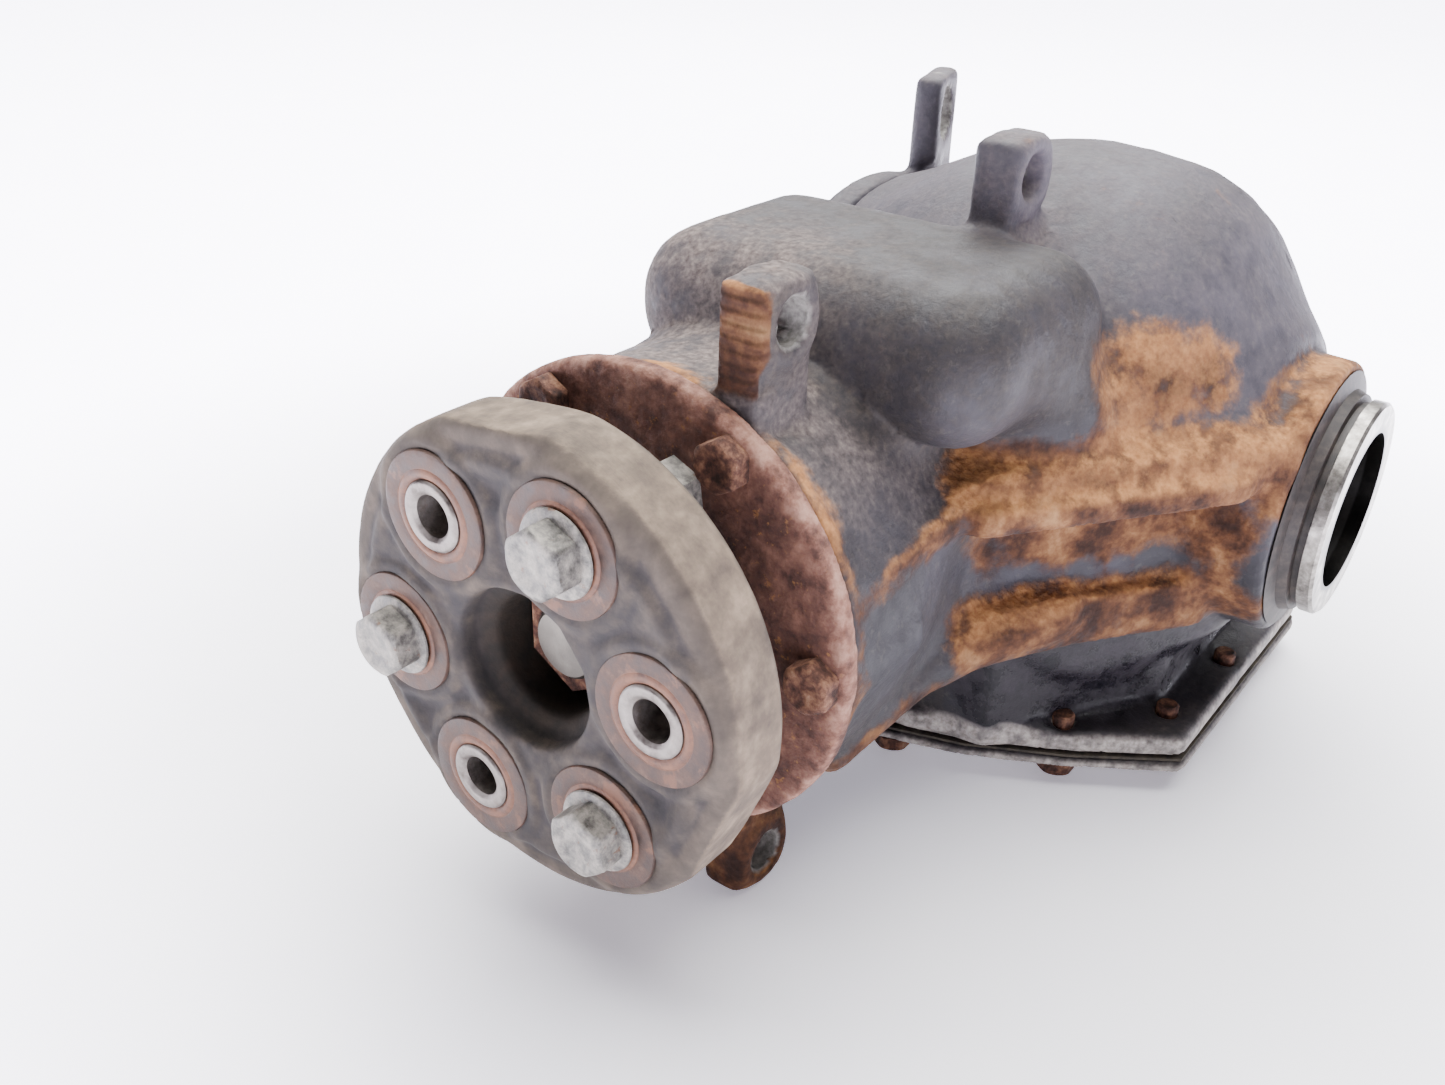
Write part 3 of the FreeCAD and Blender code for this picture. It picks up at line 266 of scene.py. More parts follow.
def add_piece(name, mesh, finish, *replaced, sharp=45):
    """Place a mesh that stands for CAD nodes and moves with their body."""
    mesh.shade_smooth()
    mesh.set_sharp_from_angle(angle=math.radians(sharp))
    piece = bpy.data.objects.new(name, mesh)
    bpy.context.scene.collection.objects.link(piece)
    mesh.materials.clear()
    mesh.materials.append(finish)
    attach(piece, BODY_OF[replaced[0]])
    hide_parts(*replaced)
    return piece


# ------------------------------------------------------------ materials

def tone(code):
    """Linear colour of an sRGB hex code."""
    channels = [int(code[i:i + 2], 16) / 255 for i in (0, 2, 4)]
    return [c / 12.92 if c <= 0.04045 else ((c + 0.055) / 1.055) ** 2.4 for c in channels] + [1]


class Finish:
    """A procedural material laid out in object space, in millimetres."""

    def __init__(self, name):
        self.material = bpy.data.materials.new(name)
        self.material.use_nodes = True
        self.tree = self.material.node_tree
        self.tree.nodes.clear()
        self.shader = self.tree.nodes.new("ShaderNodeBsdfPrincipled")
        output = self.tree.nodes.new("ShaderNodeOutputMaterial")
        self.tree.links.new(self.shader.outputs[0], output.inputs[0])
        coordinates = self.tree.nodes.new("ShaderNodeTexCoord")
        self.place = self.vector("SCALE", coordinates.outputs["Object"], scale=1 / MM)

    def node(self, kind, inputs, **settings):
        """Add a node, set its options, and feed its inputs by name or number."""
        node = self.tree.nodes.new("ShaderNode" + kind)
        for option, value in settings.items():
            setattr(node, option, value)
        for key, value in inputs.items():
            if isinstance(value, bpy.types.NodeSocket):
                self.tree.links.new(value, node.inputs[key])
            else:
                node.inputs[key].default_value = value
        return node

    def vector(self, operation, one, other=None, scale=None):
        """Vector arithmetic."""
        inputs = {0: one}
        if other is not None:
            inputs[1] = other
        if scale is not None:
            inputs["Scale"] = scale
        node = self.node("VectorMath", inputs, operation=operation)
        return node.outputs["Value" if operation in ("LENGTH", "DISTANCE", "DOT_PRODUCT") else 0]

    def math(self, operation, one, other=0.0, clamp=False):
        """Number arithmetic."""
        return self.node("Math", {0: one, 1: other}, operation=operation,
                         use_clamp=clamp).outputs[0]

    def noise(self, size, detail=4, rough=0.55, seed=0, warp=0.0, stretch=(1, 1, 1)):
        """Fractal noise whose largest lumps are about size millimetres."""
        place = self.vector("ADD", self.place, (seed * 137.0, seed * 71.0, seed * 29.0))
        if stretch != (1, 1, 1):
            place = self.vector("MULTIPLY", place, stretch)
        return self.node("TexNoise", {"Vector": place, "Scale": 1 / size, "Detail": detail,
                                      "Roughness": rough, "Distortion": warp}).outputs[0]

    def grains(self, size, seed=0):
        """Distance to the nearest of scattered points, for pits and flakes."""
        place = self.vector("ADD", self.place, (seed * 37.0, seed * 11.0, seed * 53.0))
        return self.node("TexVoronoi", {"Vector": place, "Scale": 1 / size}).outputs[0]

    def ease(self, value, low, high, start=0.0, end=1.0):
        """Map a value from one range to another with soft ends."""
        return self.node("MapRange", {"Value": value, "From Min": low, "From Max": high,
                                      "To Min": start, "To Max": end},
                         interpolation_type="SMOOTHSTEP").outputs[0]

    def ramp(self, value, stops):
        """Colours along a value, as (position, hex code)."""
        node = self.node("ValToRGB", {0: value})
        edges = node.color_ramp.elements
        while len(edges) < len(stops):
            edges.new(0.5)
        for edge, (position, code) in zip(edges, stops):
            edge.position = position
            edge.color = tone(code)
        return node.outputs[0]

    def mix(self, share, one, other):
        """Mix two colours, given as sockets or hex codes."""
        one, other = [tone(c) if isinstance(c, str) else c for c in (one, other)]
        return self.node("Mix", {0: share, 6: one, 7: other}, data_type="RGBA").outputs[2]

    def blend(self, share, one, other):
        """Mix two numbers."""
        return self.node("Mix", {0: share, 2: one, 3: other}, data_type="FLOAT").outputs[0]

    def painted(self, name):
        """A value stored on the mesh."""
        return self.node("Attribute", {}, attribute_name=name).outputs["Fac"]

    def facing(self, direction):
        """How much the surface faces a direction, from -1 to 1."""
        normal = self.node("TexCoord", {}).outputs["Normal"]
        return self.vector("DOT_PRODUCT", normal, direction)

    def split(self):
        """The x, y and z of the place."""
        return self.node("SeparateXYZ", {0: self.place}).outputs

    def done(self, colour, roughness, relief=None, depth=1.0, metal=0.0, specular=0.5):
        """Wire the shader and return the material. Relief is a height, depth its millimetres."""
        sockets = self.shader.inputs
        for name, value in (("Base Color", colour), ("Roughness", roughness), ("Metallic", metal)):
            if isinstance(value, bpy.types.NodeSocket):
                self.tree.links.new(value, sockets[name])
            else:
                sockets[name].default_value = tone(value) if isinstance(value, str) else value
        sockets["Specular IOR Level"].default_value = specular
        if relief is not None:
            bump = self.node("Bump", {"Height": relief, "Distance": depth * MM, "Strength": 1.0})
            self.tree.links.new(bump.outputs[0], sockets["Normal"])
        return self.material


def rust_colour(finish, seed):
    """Rust from nearly black through red-brown to tan."""
    value = finish.noise(14, 6, 0.65, seed)
    return finish.ramp(value, [(0.28, "1a100d"), (0.40, "37231b"), (0.50, "573826"),
                               (0.60, "7a5437"), (0.74, "a07a54")])


def cast_finish():
    """Dark blue-grey paint over sand-cast iron, dusty on top, rusting on its edges, with painted shade in
    its hollows and underneath and painted light on some faces.
    """
    f = Finish("cast_iron_paint")
    fine, coarse, broad = f.noise(2.2, 5, 0.6, 3), f.noise(9, 6, 0.62, 5), f.noise(45, 4, 0.55, 7)
    paint_colour = f.ramp(broad, [(0.3, "201f23"), (0.5, "2c2b30"), (0.7, "3e3c44")])
    # paint lifted towards pale grey on the ear and lug faces, partly painted light, and on the far left
    # upper side
    light_and_pale_lift = f.math("MULTIPLY", f.painted("pale"), f.ease(coarse, 0.3, 0.6, 0.6, 1.0))
    paint_colour = f.mix(light_and_pale_lift, paint_colour, "66626d")
    speckle = f.ease(f.noise(3.5, 5, 0.7, 9), 0.56, 0.66)
    paint_colour = f.mix(f.math("MULTIPLY", speckle, 0.16), paint_colour, "6b665e")
    dust_share = f.math("MULTIPLY", f.painted("dust"), f.ease(coarse, 0.3, 0.62, 0.25, 1.0))
    dust = f.ramp(fine, [(0.3, "483f3d"), (0.55, "706561"), (0.8, "95897f")])
    colour = f.mix(dust_share, paint_colour, dust)
    # grime darkens the paint: grime on the front ear, painted shade in hollows, low down and on the pod's
    # right half
    grime = f.math("MULTIPLY", f.painted("grime"), f.ease(coarse, 0.35, 0.6, 0.5, 1.0))
    colour = f.mix(grime, colour, f.ramp(fine, [(0.3, "1d1813"), (0.7, "40362a")]))
    flake = f.math("ADD", f.math("MULTIPLY", coarse, 0.75), f.math("MULTIPLY", broad, 0.45))
    rust_share = f.ease(f.math("ADD", f.painted("rust"), flake), 0.88, 1.2)
    # the rust is darkened by the same grime and painted shade
    rusted = f.mix(f.math("MULTIPLY", f.painted("grime"), 0.75), rust_colour(f, 11), "2b1a16")
    # rust painted lighter tan where it faces up: painted light from above
    tan = f.math("MULTIPLY", f.ease(f.facing((0, 0, 1)), 0.15, 0.8), f.ease(coarse, 0.38, 0.6, 0.15, 0.9))
    rusted = f.mix(tan, rusted, f.ramp(fine, [(0.3, "8a5c38"), (0.7, "bb8655")]))
    colour = f.mix(rust_share, colour, rusted)
    crust = f.math("MULTIPLY", f.painted("crust"), f.ease(coarse, 0.35, 0.6, 0.4, 1.0))
    colour = f.mix(crust, colour, f.ramp(fine, [(0.3, "7d756f"), (0.7, "c4bcb5")]))
    oil = f.ease(f.math("ADD", f.painted("oil"), f.math("MULTIPLY", coarse, 0.6)), 0.7, 1.0)
    colour = f.mix(oil, colour, f.ramp(coarse, [(0.35, "141318"), (0.65, "302c31")]))
    bare = f.painted("bare")
    steel = f.ramp(fine, [(0.3, "5c5955"), (0.6, "8a8782"), (0.8, "a5a29c")])
    colour = f.mix(bare, colour, steel)
    dull = f.blend(dust_share, f.ease(coarse, 0.3, 0.7, 0.45, 0.65), 0.92)
    dull = f.blend(rust_share, dull, 0.88)
    dull = f.blend(oil, dull, f.ease(coarse, 0.35, 0.65, 0.16, 0.5))
    dull = f.blend(bare, dull, 0.42)
    grain = f.math("ADD", f.math("MULTIPLY", fine, 0.25), f.math("MULTIPLY", coarse, 0.5))
    scale = f.math("MULTIPLY", f.grains(2.6, 2), f.math("MULTIPLY", rust_share, 0.35))
    grooves = f.math("SINE", f.math("MULTIPLY", f.split()[2], 1.7))
    grooves = f.math("MULTIPLY", grooves, f.math("MULTIPLY", f.painted("grooved"), 0.5))
    relief = f.math("ADD", f.math("ADD", grain, scale), grooves)
    relief = f.math("MULTIPLY", relief, f.blend(bare, 1.0, 0.1))
    return f.done(colour, dull, relief, 1.1, specular=0.24)


def rusty_plate_finish():
    """Front cover with deep red rust, a lighter rim and painted shade in its middle behind the coupling.
    """
    f = Finish("rusted_plate")
    fine, coarse, broad = f.noise(1.8, 5, 0.65, 2), f.noise(7, 6, 0.65, 4), f.noise(26, 4, 0.6, 6)
    colour = f.ramp(f.math("ADD", f.math("MULTIPLY", coarse, 0.6), f.math("MULTIPLY", broad, 0.4)),
                    [(0.34, "2a1c19"), (0.45, "4a312a"), (0.54, "67463b"), (0.66, "8a6352")])
    fleck = f.ease(f.noise(3, 4, 0.7, 8), 0.6, 0.68)
    colour = f.mix(f.math("MULTIPLY", fleck, 0.7), colour, "93663f")
    rim = f.math("MULTIPLY", f.painted("rim"), f.ease(coarse, 0.3, 0.62, 0.45, 1.0))
    colour = f.mix(rim, colour, f.ramp(coarse, [(0.35, "573b32"), (0.5, "835c4d"), (0.65, "a07c6b")]))
    # the middle, behind the coupling, darkened as painted shade
    dark = f.math("MULTIPLY", f.painted("grime"), f.ease(broad, 0.35, 0.6, 0.4, 1.0))
    colour = f.mix(dark, colour, "1e1613")
    relief = f.math("ADD", f.math("MULTIPLY", coarse, 0.8), f.math("MULTIPLY", fine, 0.3))
    relief = f.math("ADD", relief, f.math("MULTIPLY", f.grains(3.2, 1), 0.3))
    return f.done(colour, f.ease(fine, 0.3, 0.7, 0.72, 0.95), relief, 1.1, specular=0.3)


def rusty_bolt_finish():
    """Bolt heads under scaly rust."""
    f = Finish("rusted_bolt")
    coarse, fine = f.noise(5, 5, 0.65, 3), f.noise(1.4, 5, 0.65, 5)
    colour = f.ramp(coarse, [(0.34, "271813"), (0.48, "50342a"), (0.6, "795541"), (0.72, "987860")])
    relief = f.math("ADD", coarse, f.math("MULTIPLY", fine, 0.35))
    return f.done(colour, 0.85, relief, 0.8, specular=0.3)


def zinc_finish():
    """White-grey weathered zinc with dark mottling and specks of rust."""
    f = Finish("weathered_zinc")
    coarse, fine = f.noise(4.5, 6, 0.7, 2), f.noise(1.1, 5, 0.65, 4)
    colour = f.ramp(coarse, [(0.33, "454340"), (0.45, "6c6964"), (0.55, "8e8981"), (0.7, "b0a99f")])
    speck = f.ease(f.noise(3.2, 5, 0.7, 9), 0.6, 0.7)
    colour = f.mix(f.math("MULTIPLY", speck, 0.75), colour, "6f4a33")
    relief = f.math("ADD", coarse, f.math("MULTIPLY", fine, 0.5))
    return f.done(colour, f.ease(coarse, 0.35, 0.65, 0.4, 0.7), relief, 0.22, metal=0.35)


def rubber_finish():
    """Aged rubber under brown road dust, with painted shade in its creases and its middle hole."""
    f = Finish("dusty_rubber")
    fine, coarse, broad = f.noise(1.6, 5, 0.6, 2), f.noise(8, 5, 0.6, 4), f.noise(34, 4, 0.5, 6)
    streak = f.noise(16, 5, 0.6, 8, 0.4)
    bare = f.ramp(broad, [(0.35, "212023"), (0.65, "323134")])
    dust = f.ramp(f.math("ADD", f.math("MULTIPLY", coarse, 0.5), f.math("MULTIPLY", streak, 0.5)),
                  [(0.34, "38312c"), (0.5, "4c433b"), (0.66, "62564b")])
    cover = f.ease(f.math("ADD", f.math("MULTIPLY", coarse, 0.6), f.painted("dust")), 0.35, 0.95)
    colour = f.mix(cover, bare, dust)
    rim = f.ramp(coarse, [(0.3, "574b42"), (0.5, "716253"), (0.7, "8e7c6a")])
    colour = f.mix(f.math("MULTIPLY", f.painted("rim"), f.ease(streak, 0.3, 0.6, 0.5, 1.0)), colour, rim)
    # painted shade in the creases
    colour = f.mix(f.painted("crease_shade"), colour, f.ramp(coarse, [(0.3, "1c1b1d"), (0.7, "353236")]))
    # painted shade down the middle hole
    colour = f.mix(f.painted("grime"), colour, f.ramp(coarse, [(0.3, "120f0c"), (0.7, "2c2219")]))
    line = f.noise(5, 4, 0.6, 12, 0.0, (3.5, 0.5, 0.5))
    relief = f.math("ADD", f.math("MULTIPLY", fine, 0.3), f.math("MULTIPLY", coarse, 0.35))
    relief = f.math("ADD", relief, f.math("MULTIPLY", line, f.math("MULTIPLY", f.painted("rim"), 0.35)))
    return f.done(colour, 0.82, relief, 0.5, specular=0.35)


def end_plate_finish():
    """Pink-brown steel plates with brighter rust beside the sleeves."""
    f = Finish("rusted_end_plate")
    coarse, fine = f.noise(6, 6, 0.65, 3), f.noise(1.3, 5, 0.65, 5)
    colour = f.ramp(coarse, [(0.3, "2c1f19"), (0.45, "412f27"), (0.58, "543f35"), (0.72, "6c564a")])
    ring = f.math("MULTIPLY", f.painted("ring"), f.ease(fine, 0.3, 0.55, 0.35, 0.7))
    colour = f.mix(ring, colour, f.ramp(coarse, [(0.35, "55362a"), (0.6, "855b45")]))
    spot = f.ease(f.noise(11, 5, 0.6, 7), 0.58, 0.66)
    colour = f.mix(f.math("MULTIPLY", spot, 0.5), colour, "7d5540")
    relief = f.math("ADD", f.math("MULTIPLY", coarse, 0.6), f.math("MULTIPLY", fine, 0.4))
    return f.done(colour, f.ease(coarse, 0.35, 0.65, 0.5, 0.72), relief, 0.35, metal=0.25)


def worn_steel_finish(name, dark="4c4845", light="a9a49c", metal=0.75, dull=(0.3, 0.55), rust=0.25):
    """Machined steel with a little rust and handling marks."""
    f = Finish(name)
    coarse, fine = f.noise(6, 6, 0.65, 3), f.noise(1.0, 4, 0.6, 5)
    colour = f.ramp(coarse, [(0.32, dark), (0.68, light)])
    spot = f.ease(f.noise(4.5, 5, 0.7, 9), 0.56, 0.7)
    colour = f.mix(f.math("MULTIPLY", spot, rust), colour, "6d4630")
    return f.done(colour, f.ease(coarse, 0.35, 0.65, *dull), fine, 0.12, metal=metal)


def bright_gear_finish(name, colour="8f8b84", dull=0.28):
    """Oiled ground steel inside the housing."""
    f = Finish(name)
    fine = f.noise(0.9, 4, 0.6, 1, 0.0, (1, 4, 1))
    shade = f.mix(f.ease(f.noise(18, 4), 0.35, 0.65), colour, "5f5b55")
    return f.done(shade, f.ease(fine, 0.3, 0.7, dull, dull + 0.2), fine, 0.05, metal=0.9)


def dull_finish(name, dark, light, roughness, size=5, metal=0.0, depth=0.3):
    """Plain material with mottled colour and a fine grain."""
    f = Finish(name)
    coarse, fine = f.noise(size, 5, 0.62, 3), f.noise(size * 0.2, 4, 0.6, 5)
    colour = f.ramp(coarse, [(0.32, dark), (0.68, light)])
    relief = f.math("ADD", f.math("MULTIPLY", coarse, 0.5), f.math("MULTIPLY", fine, 0.5))
    return f.done(colour, roughness, relief, depth, metal=metal)


def collar_finish():
    """Output collar: brown skin on the casting side, bright worn edge at the bore, painted shade inside
    it.
    """
    f = Finish("machined_collar")
    x, y, z = f.split()
    coarse, fine = f.noise(5, 6, 0.65, 3), f.noise(1.0, 4, 0.6, 5)
    ragged = f.math("ADD", y, f.math("MULTIPLY", coarse, 1.2))
    end = f.ease(ragged, COLLAR_END_Y - 0.4, COLLAR_END_Y + 0.6)
    brown = f.ramp(coarse, [(0.33, "171311"), (0.5, "29221f"), (0.68, "3e352f")])
    bright = f.ramp(coarse, [(0.33, "5d5954"), (0.5, "908b85"), (0.68, "c2bdb6")])
    colour = f.mix(end, brown, bright)
    across = f.math("SUBTRACT", x, AXLE_X)
    radius = f.math("SQRT", f.math("ADD", f.math("MULTIPLY", across, across),
                                   f.math("MULTIPLY", z, z)))
    # painted shade inside the bore: nearly black within the inner radius
    inner = f.ease(f.math("ADD", radius, coarse), COLLAR_INNER_R + 1.5, COLLAR_INNER_R - 1.4)
    colour = f.mix(inner, colour, f.ramp(coarse, [(0.3, "0b0a0a"), (0.7, "1d1a18")]))
    dull = f.blend(inner, f.blend(end, 0.6, 0.32), 0.3)
    relief = f.math("ADD", f.math("MULTIPLY", coarse, 0.3), f.math("MULTIPLY", fine, 0.25))
    return f.done(colour, dull, relief, 0.25, metal=f.math("MULTIPLY", end, 0.8))


# ------------------------------------------------------------ castings

Surface = namedtuple("Surface", "points normals bend skin bare", defaults=(None, None))
# millimetres to each side of a surface in which distances are known
FIELD_REACH = 12
# distances to the whole part's outside between which inner surfaces turn into outer skin
SKIN_DEPTH = (-6, -3)
# unevenness of the outer skin, as (size, seed, share)
LUMPS = ((22, 1, 0.6), (8, 2, 0.4), (3.5, 3, 0.3))
# how far a point may be moved onto a bore or its faced ring
SNAP = 0.9


def lines_mask(points, lines):
    """Strongest influence of some (start, end, reach, strength) strokes at each point."""
    found = np.zeros(len(points))
    for start, end, reach, strength in lines:
        start, along = np.array(start, float), np.subtract(end, start).astype(float)
        share = np.clip((points - start) @ along / max(along @ along, 1e-9), 0, 1)
        gap = np.linalg.norm(points - start - share[:, None] * along, axis=1)
        found = np.maximum(found, strength * smooth_step(-gap, -reach, -reach * 0.25))
    return found


def snap_bore(points, mount, rim):
    """True up a drilled hole and its faced rings, and return where they are."""
    axis = np.array(mount["axis"], float)
    radius, length = mount["dims"]["r_mm"], mount["dims"]["length_mm"]
    near = points - np.array(mount["pos_m"]) * 1000
    along = near @ axis
    across = near - along[:, None] * axis
    gap = np.linalg.norm(across, axis=1)
    close = gap < radius + 3
    sign = -1 if (close & (along < -1)).sum() > (close & (along > 1)).sum() else 1
    faces = (0.0, sign * length)
    faced = np.zeros(len(points))
    for face in faces:
        flat = (abs(along - face) < SNAP) & (gap < rim)
        points[flat] += (face - along[flat])[:, None] * axis
        faced[flat] = 1
        along[flat] = face
    low, high = min(faces) - 0.5, max(faces) + 0.5
    wall = (abs(gap - radius) < SNAP) & (along > low) & (along < high)
    points[wall] += across[wall] * (radius / gap[wall] - 1)[:, None]
    faced[wall] = 1
    return faced


def casting(name, finish, replaced, voxel, masks, forms=None, bores=(), rough=0.3, fillet=4):
    """Rebuild a CAD casting with cast fillets, softened edges and a sand-cast skin."""
    field = Field([replaced], voxel, FIELD_REACH)
    whole = field.distance(sorted(frame["nodes"]))
    outer = smooth_step(whole, *SKIN_DEPTH)
    base = field.values
    if forms:
        base = base + (forms(field, base) - base) * outer
    soft = np.minimum(blurred(base, 1), blurred(base, fillet))
    field.values = base + (soft - base) * outer
    mesh, points = field.mesh(name, 0.02)
    skin = field.at(outer, points)
    bend = field.at(blurred(field.values, 3), points)
    normals = normals_of(mesh)
    uneven = sum(lumps(points, size, seed) * share for size, seed, share in LUMPS)
    points += normals * (uneven * skin * rough)[:, None]
    bare = np.zeros(len(points))
    for bore, rim in bores:
        bare = np.maximum(bare, snap_bore(points, MOUNTS[bore], rim))
    solid = node_points(replaced)
    points = np.clip(points, solid.min(0), solid.max(0))
    set_points(mesh, points)
    for label, values in masks(Surface(points, normals, bend, skin, bare)).items():
        paint(mesh, label, values)
    add_piece(name, mesh, finish, replaced)


# strokes as (start, end, reach, strength)
RUSTY = [((-130, 68, 27), (-166, 95, 29), 26, 1.05), ((-166, 95, 28), (-215, 133, 28), 28, 1.15),
         ((-145, 74, 4), (-206, 116, 4), 27, 0.95), ((-136, 68, -26), (-215, 122, -26), 21, 1.0),
         ((-174, 84, 54), (-206, 100, 51), 28, 1.0), ((-158, 52, 44), (-146, 74, 30), 17, 1.05),
         ((-215, 128, 34), (-253, 132, 48), 24, 1.0), ((-253, 132, 48), (-290, 128, 30), 14, 0.8),
         ((-134, 66, 24), (-66, 66, 18), 11, 0.8), ((-130, 62, -38), (-78, 58, -50), 12, 0.75),
         ((-62, 0, 72), (-62, 60, 40), 13, 0.7), ((-62, 60, 40), (-62, 70, -20), 11, 0.7),
         ((-70, 30, -100), (-70, 30, -60), 30, 1.0)]
OILY = [((-160, 70, -62), (-200, 100, -62), 34, 0.9), ((-200, 104, -62), (-300, 112, -62), 34, 0.8)]
FRONT_EAR = ((-56, 30, 102), (-56, 30, 72), 30, 1.0)
# ear and lug faces painted paler and dustier: partly their own brown-grey dust, partly painted light
# where they are lit
LIT_EARS = [(spot, spot - (0, 0, 22), 24, 0.9)
             for spot in (np.array(MOUNTS[name]["pos_m"]) * 1000
                          for name in ("upper_rear_ear_bore", "side_lug_bore"))]


def housing_forms(field, base):
    """Cast shapes that run the pod, the ribs and the nose into one another."""
    shapes = [
        (field.rod((-150, 56, 66), (-163, 76, 46), 22, 13), 12),
        (field.rod((-158, 50, 46), (-150, 67, 26), 10, 8), 8),
        (field.rod((-138, 70, 27), (-214, 123, 27), 9, 10), 5),
        (field.rod((-140, 63, 24), (-104, 61, 22), 7, 5), 5),
        (field.rod((-104, 61, 22), (-64, 63, 16), 5, 4), 4),
        (np.maximum(field.rod((-40, 60, -5), (-90, 58, -5), 12, 11), field.x + 57.5), 3),
        (field.rod((-130, 60, -34), (-165, 82, -26), 8, 9), 8),
        (field.rod((-130, 60, -34), (-78, 54, -48), 8, 5), 8)]
    for shape, blend in shapes:
        base = smooth_union(base, shape, blend)
    return base


def housing_masks(surface):
    """Where the casting is dusty, grimy, rusty, oily or machined, and where shade and light are painted
    on.
    """
    points, normals, bend = surface.points, surface.normals, surface.bend
    x, y, z = points.T
    up = smooth_step(normals[:, 2], 0.15, 0.9)
    edge = smooth_step(bend, 0.25, 1.1)
    hollow = smooth_step(-bend, 0.2, 1.2)
    nose = smooth_step(x, -160, -105) * smooth_step(-y, -75, -20)
    rim = (1 - up) * smooth_step(-z, 77, 80) * smooth_step(-x, 135, 145)
    pod = smooth_step(z, 40, 55) * smooth_step(x, -185, -170) * smooth_step(-x, 88, 96)
    # the pod's right half is painted darker, a painted shade, and gets less dust
    pod_shade = pod * smooth_step(y, 0, 45)
    ear = lines_mask(points, [FRONT_EAR]) * smooth_step(z, 68, 74)
    pale = lines_mask(points, LIT_EARS)
    return {
        # the dust on the ear and lug faces is partly painted light
        "dust": (up * (0.25 + 0.2 * nose) + 0.6 * nose) * (1 - 0.85 * pod_shade) + 0.25 * hollow
                + 0.45 * pale,
        "crust": rim,
        # grime: painted shade in hollows and on lower faces that do not face up, grime on the front ear,
        # painted shade on the pod's right half
        "grime": (0.7 * hollow + 0.3 * (1 - up) * smooth_step(-z, 0, 60)) * (1 - rim)
                 + 0.6 * ear * (1 - up) + 0.4 * pod_shade,
        "rust": 0.15 * edge + lines_mask(points, RUSTY) * 0.62 + 0.1 * hollow
                + 0.62 * ear * smooth_step(normals[:, 0], 0.2, 0.7),
        "oil": lines_mask(points, OILY) * smooth_step(-z, 38, 46) * (1 - rim),
        # pale: ear and lug faces, partly painted light, and the far left upper side
        "pale": 0.3 * smooth_step(-x, 178, 200) * smooth_step(z, -20, 20) + 0.7 * pale,
        "grooved": ear * smooth_step(normals[:, 0], 0.6, 0.9),
        "bare": surface.bare,
    }


def make_housing(finish):
    """Main casting."""
    bores = [("upper_front_ear_bore", 12.4), ("lower_front_ear_bore", 12.4),
             ("upper_rear_ear_bore", 12.4)]
    casting("housing_casting", finish, "housing", 1.5, housing_masks, housing_forms, bores)


def make_left_cover(finish):
    """Left side cover with its lug."""
    casting("left_cover_casting", finish, "left_side_cover", 1.4, housing_masks,
            bores=[("side_lug_bore", 15)])


def make_bottom_cover(finish):
    """Lower cover plate, crusty along its edge."""
    casting("bottom_cover_casting", finish, "bottom_cover", 1.4, housing_masks, fillet=2)


def plate_masks(surface):
    """Lighter rim, painted shade in the middle behind the coupling."""
    radius = np.hypot(surface.points[:, 1], surface.points[:, 2])
    return {"rim": smooth_step(radius, 69.5, 73) * surface.skin,
            "grime": smooth_step(-radius, -56, -42) * 0.6}


def make_front_cover(finish):
    """Round front cover behind the coupling."""
    casting("front_cover_plate", finish, "front_cover", 1.1, plate_masks, rough=0.45, fillet=2)


def flange_masks(surface):
    """Forged flange: rusty, lighter on its edges and darkened all over."""
    return {"rim": smooth_step(surface.bend, 0.1, 0.6) * 0.7,
            "grime": np.full(len(surface.points), 0.35)}


def make_input_flange(finish):
    """Forged three-armed input flange."""
    casting("input_flange_forging", finish, "input_flange", 1.1, flange_masks, rough=0.2, fillet=2)


# ------------------------------------------------------------ rubber coupling

def sleeve_gap(y, z, angle):
    """Distance from the axis of the sleeve at an angle."""
    return np.hypot(y - SLEEVE_CIRCLE * math.cos(angle), z - SLEEVE_CIRCLE * math.sin(angle))


def ridge(value, middle, width):
    """1 in the middle, falling away like a bell over a width."""
    return np.exp(-((value - middle) / width) ** 2)


def turn_from(angle, other):
    """Shortest turn from one angle to another."""
    return np.angle(np.exp(1j * (angle - other)))


def coupling_height(y, z):
    """How far the front of the rubber stands out or falls back, in millimetres."""
    radius, angle = np.hypot(y, z), np.arctan2(z, y)
    height = -1.9 * smooth_step(radius, 61.5, 64.5) + 0.8 * ridge(radius, 60, 2.2)
    height -= 1.2 * ridge(radius, 63.0, 1.1)
    for turn in BOLTED_SLEEVES:
        valley = ridge(turn_from(angle, turn + math.radians(30)), 0, 0.17)
        height -= 3.4 * valley * smooth_step(radius, 24, 34) * smooth_step(-radius, -60, -50)
        swell = ridge(turn_from(angle, turn - math.radians(30)), 0, 0.3)
        height += 0.7 * swell * smooth_step(radius, 26, 32) * smooth_step(-radius, -52, -44)
    for turn in OPEN_SLEEVES + BOLTED_SLEEVES:
        gap = sleeve_gap(y, z, turn)
        lip = 1.3 * ridge(gap, 21.2, 1.5) - 0.8 * ridge(gap, 23.8, 1.3)
        height = np.where(gap < 24.5, np.maximum(height, -0.6), height) + lip
    return height


def coupling_masks(surface):
    """Dust, painted shade in the creases and the middle hole, and the paler rim of the rubber."""
    x, radius = surface.points[:, 0], np.hypot(surface.points[:, 1], surface.points[:, 2])
    side = smooth_step(1 - abs(surface.normals[:, 0]), 0.35, 0.8)
    outside = smooth_step(radius, 62, 66)
    # concave places of the rubber, darkened as painted shade
    crease_shade = smooth_step(-surface.bend, 0.12, 0.55)
    return {"dust": 0.35 + 0.35 * outside, "rim": side * outside, "crease_shade": crease_shade * 0.6,
            # grime: painted shade down the middle hole
            "grime": smooth_step(-radius, -27, -22) * smooth_step(-x, 4, 12)}


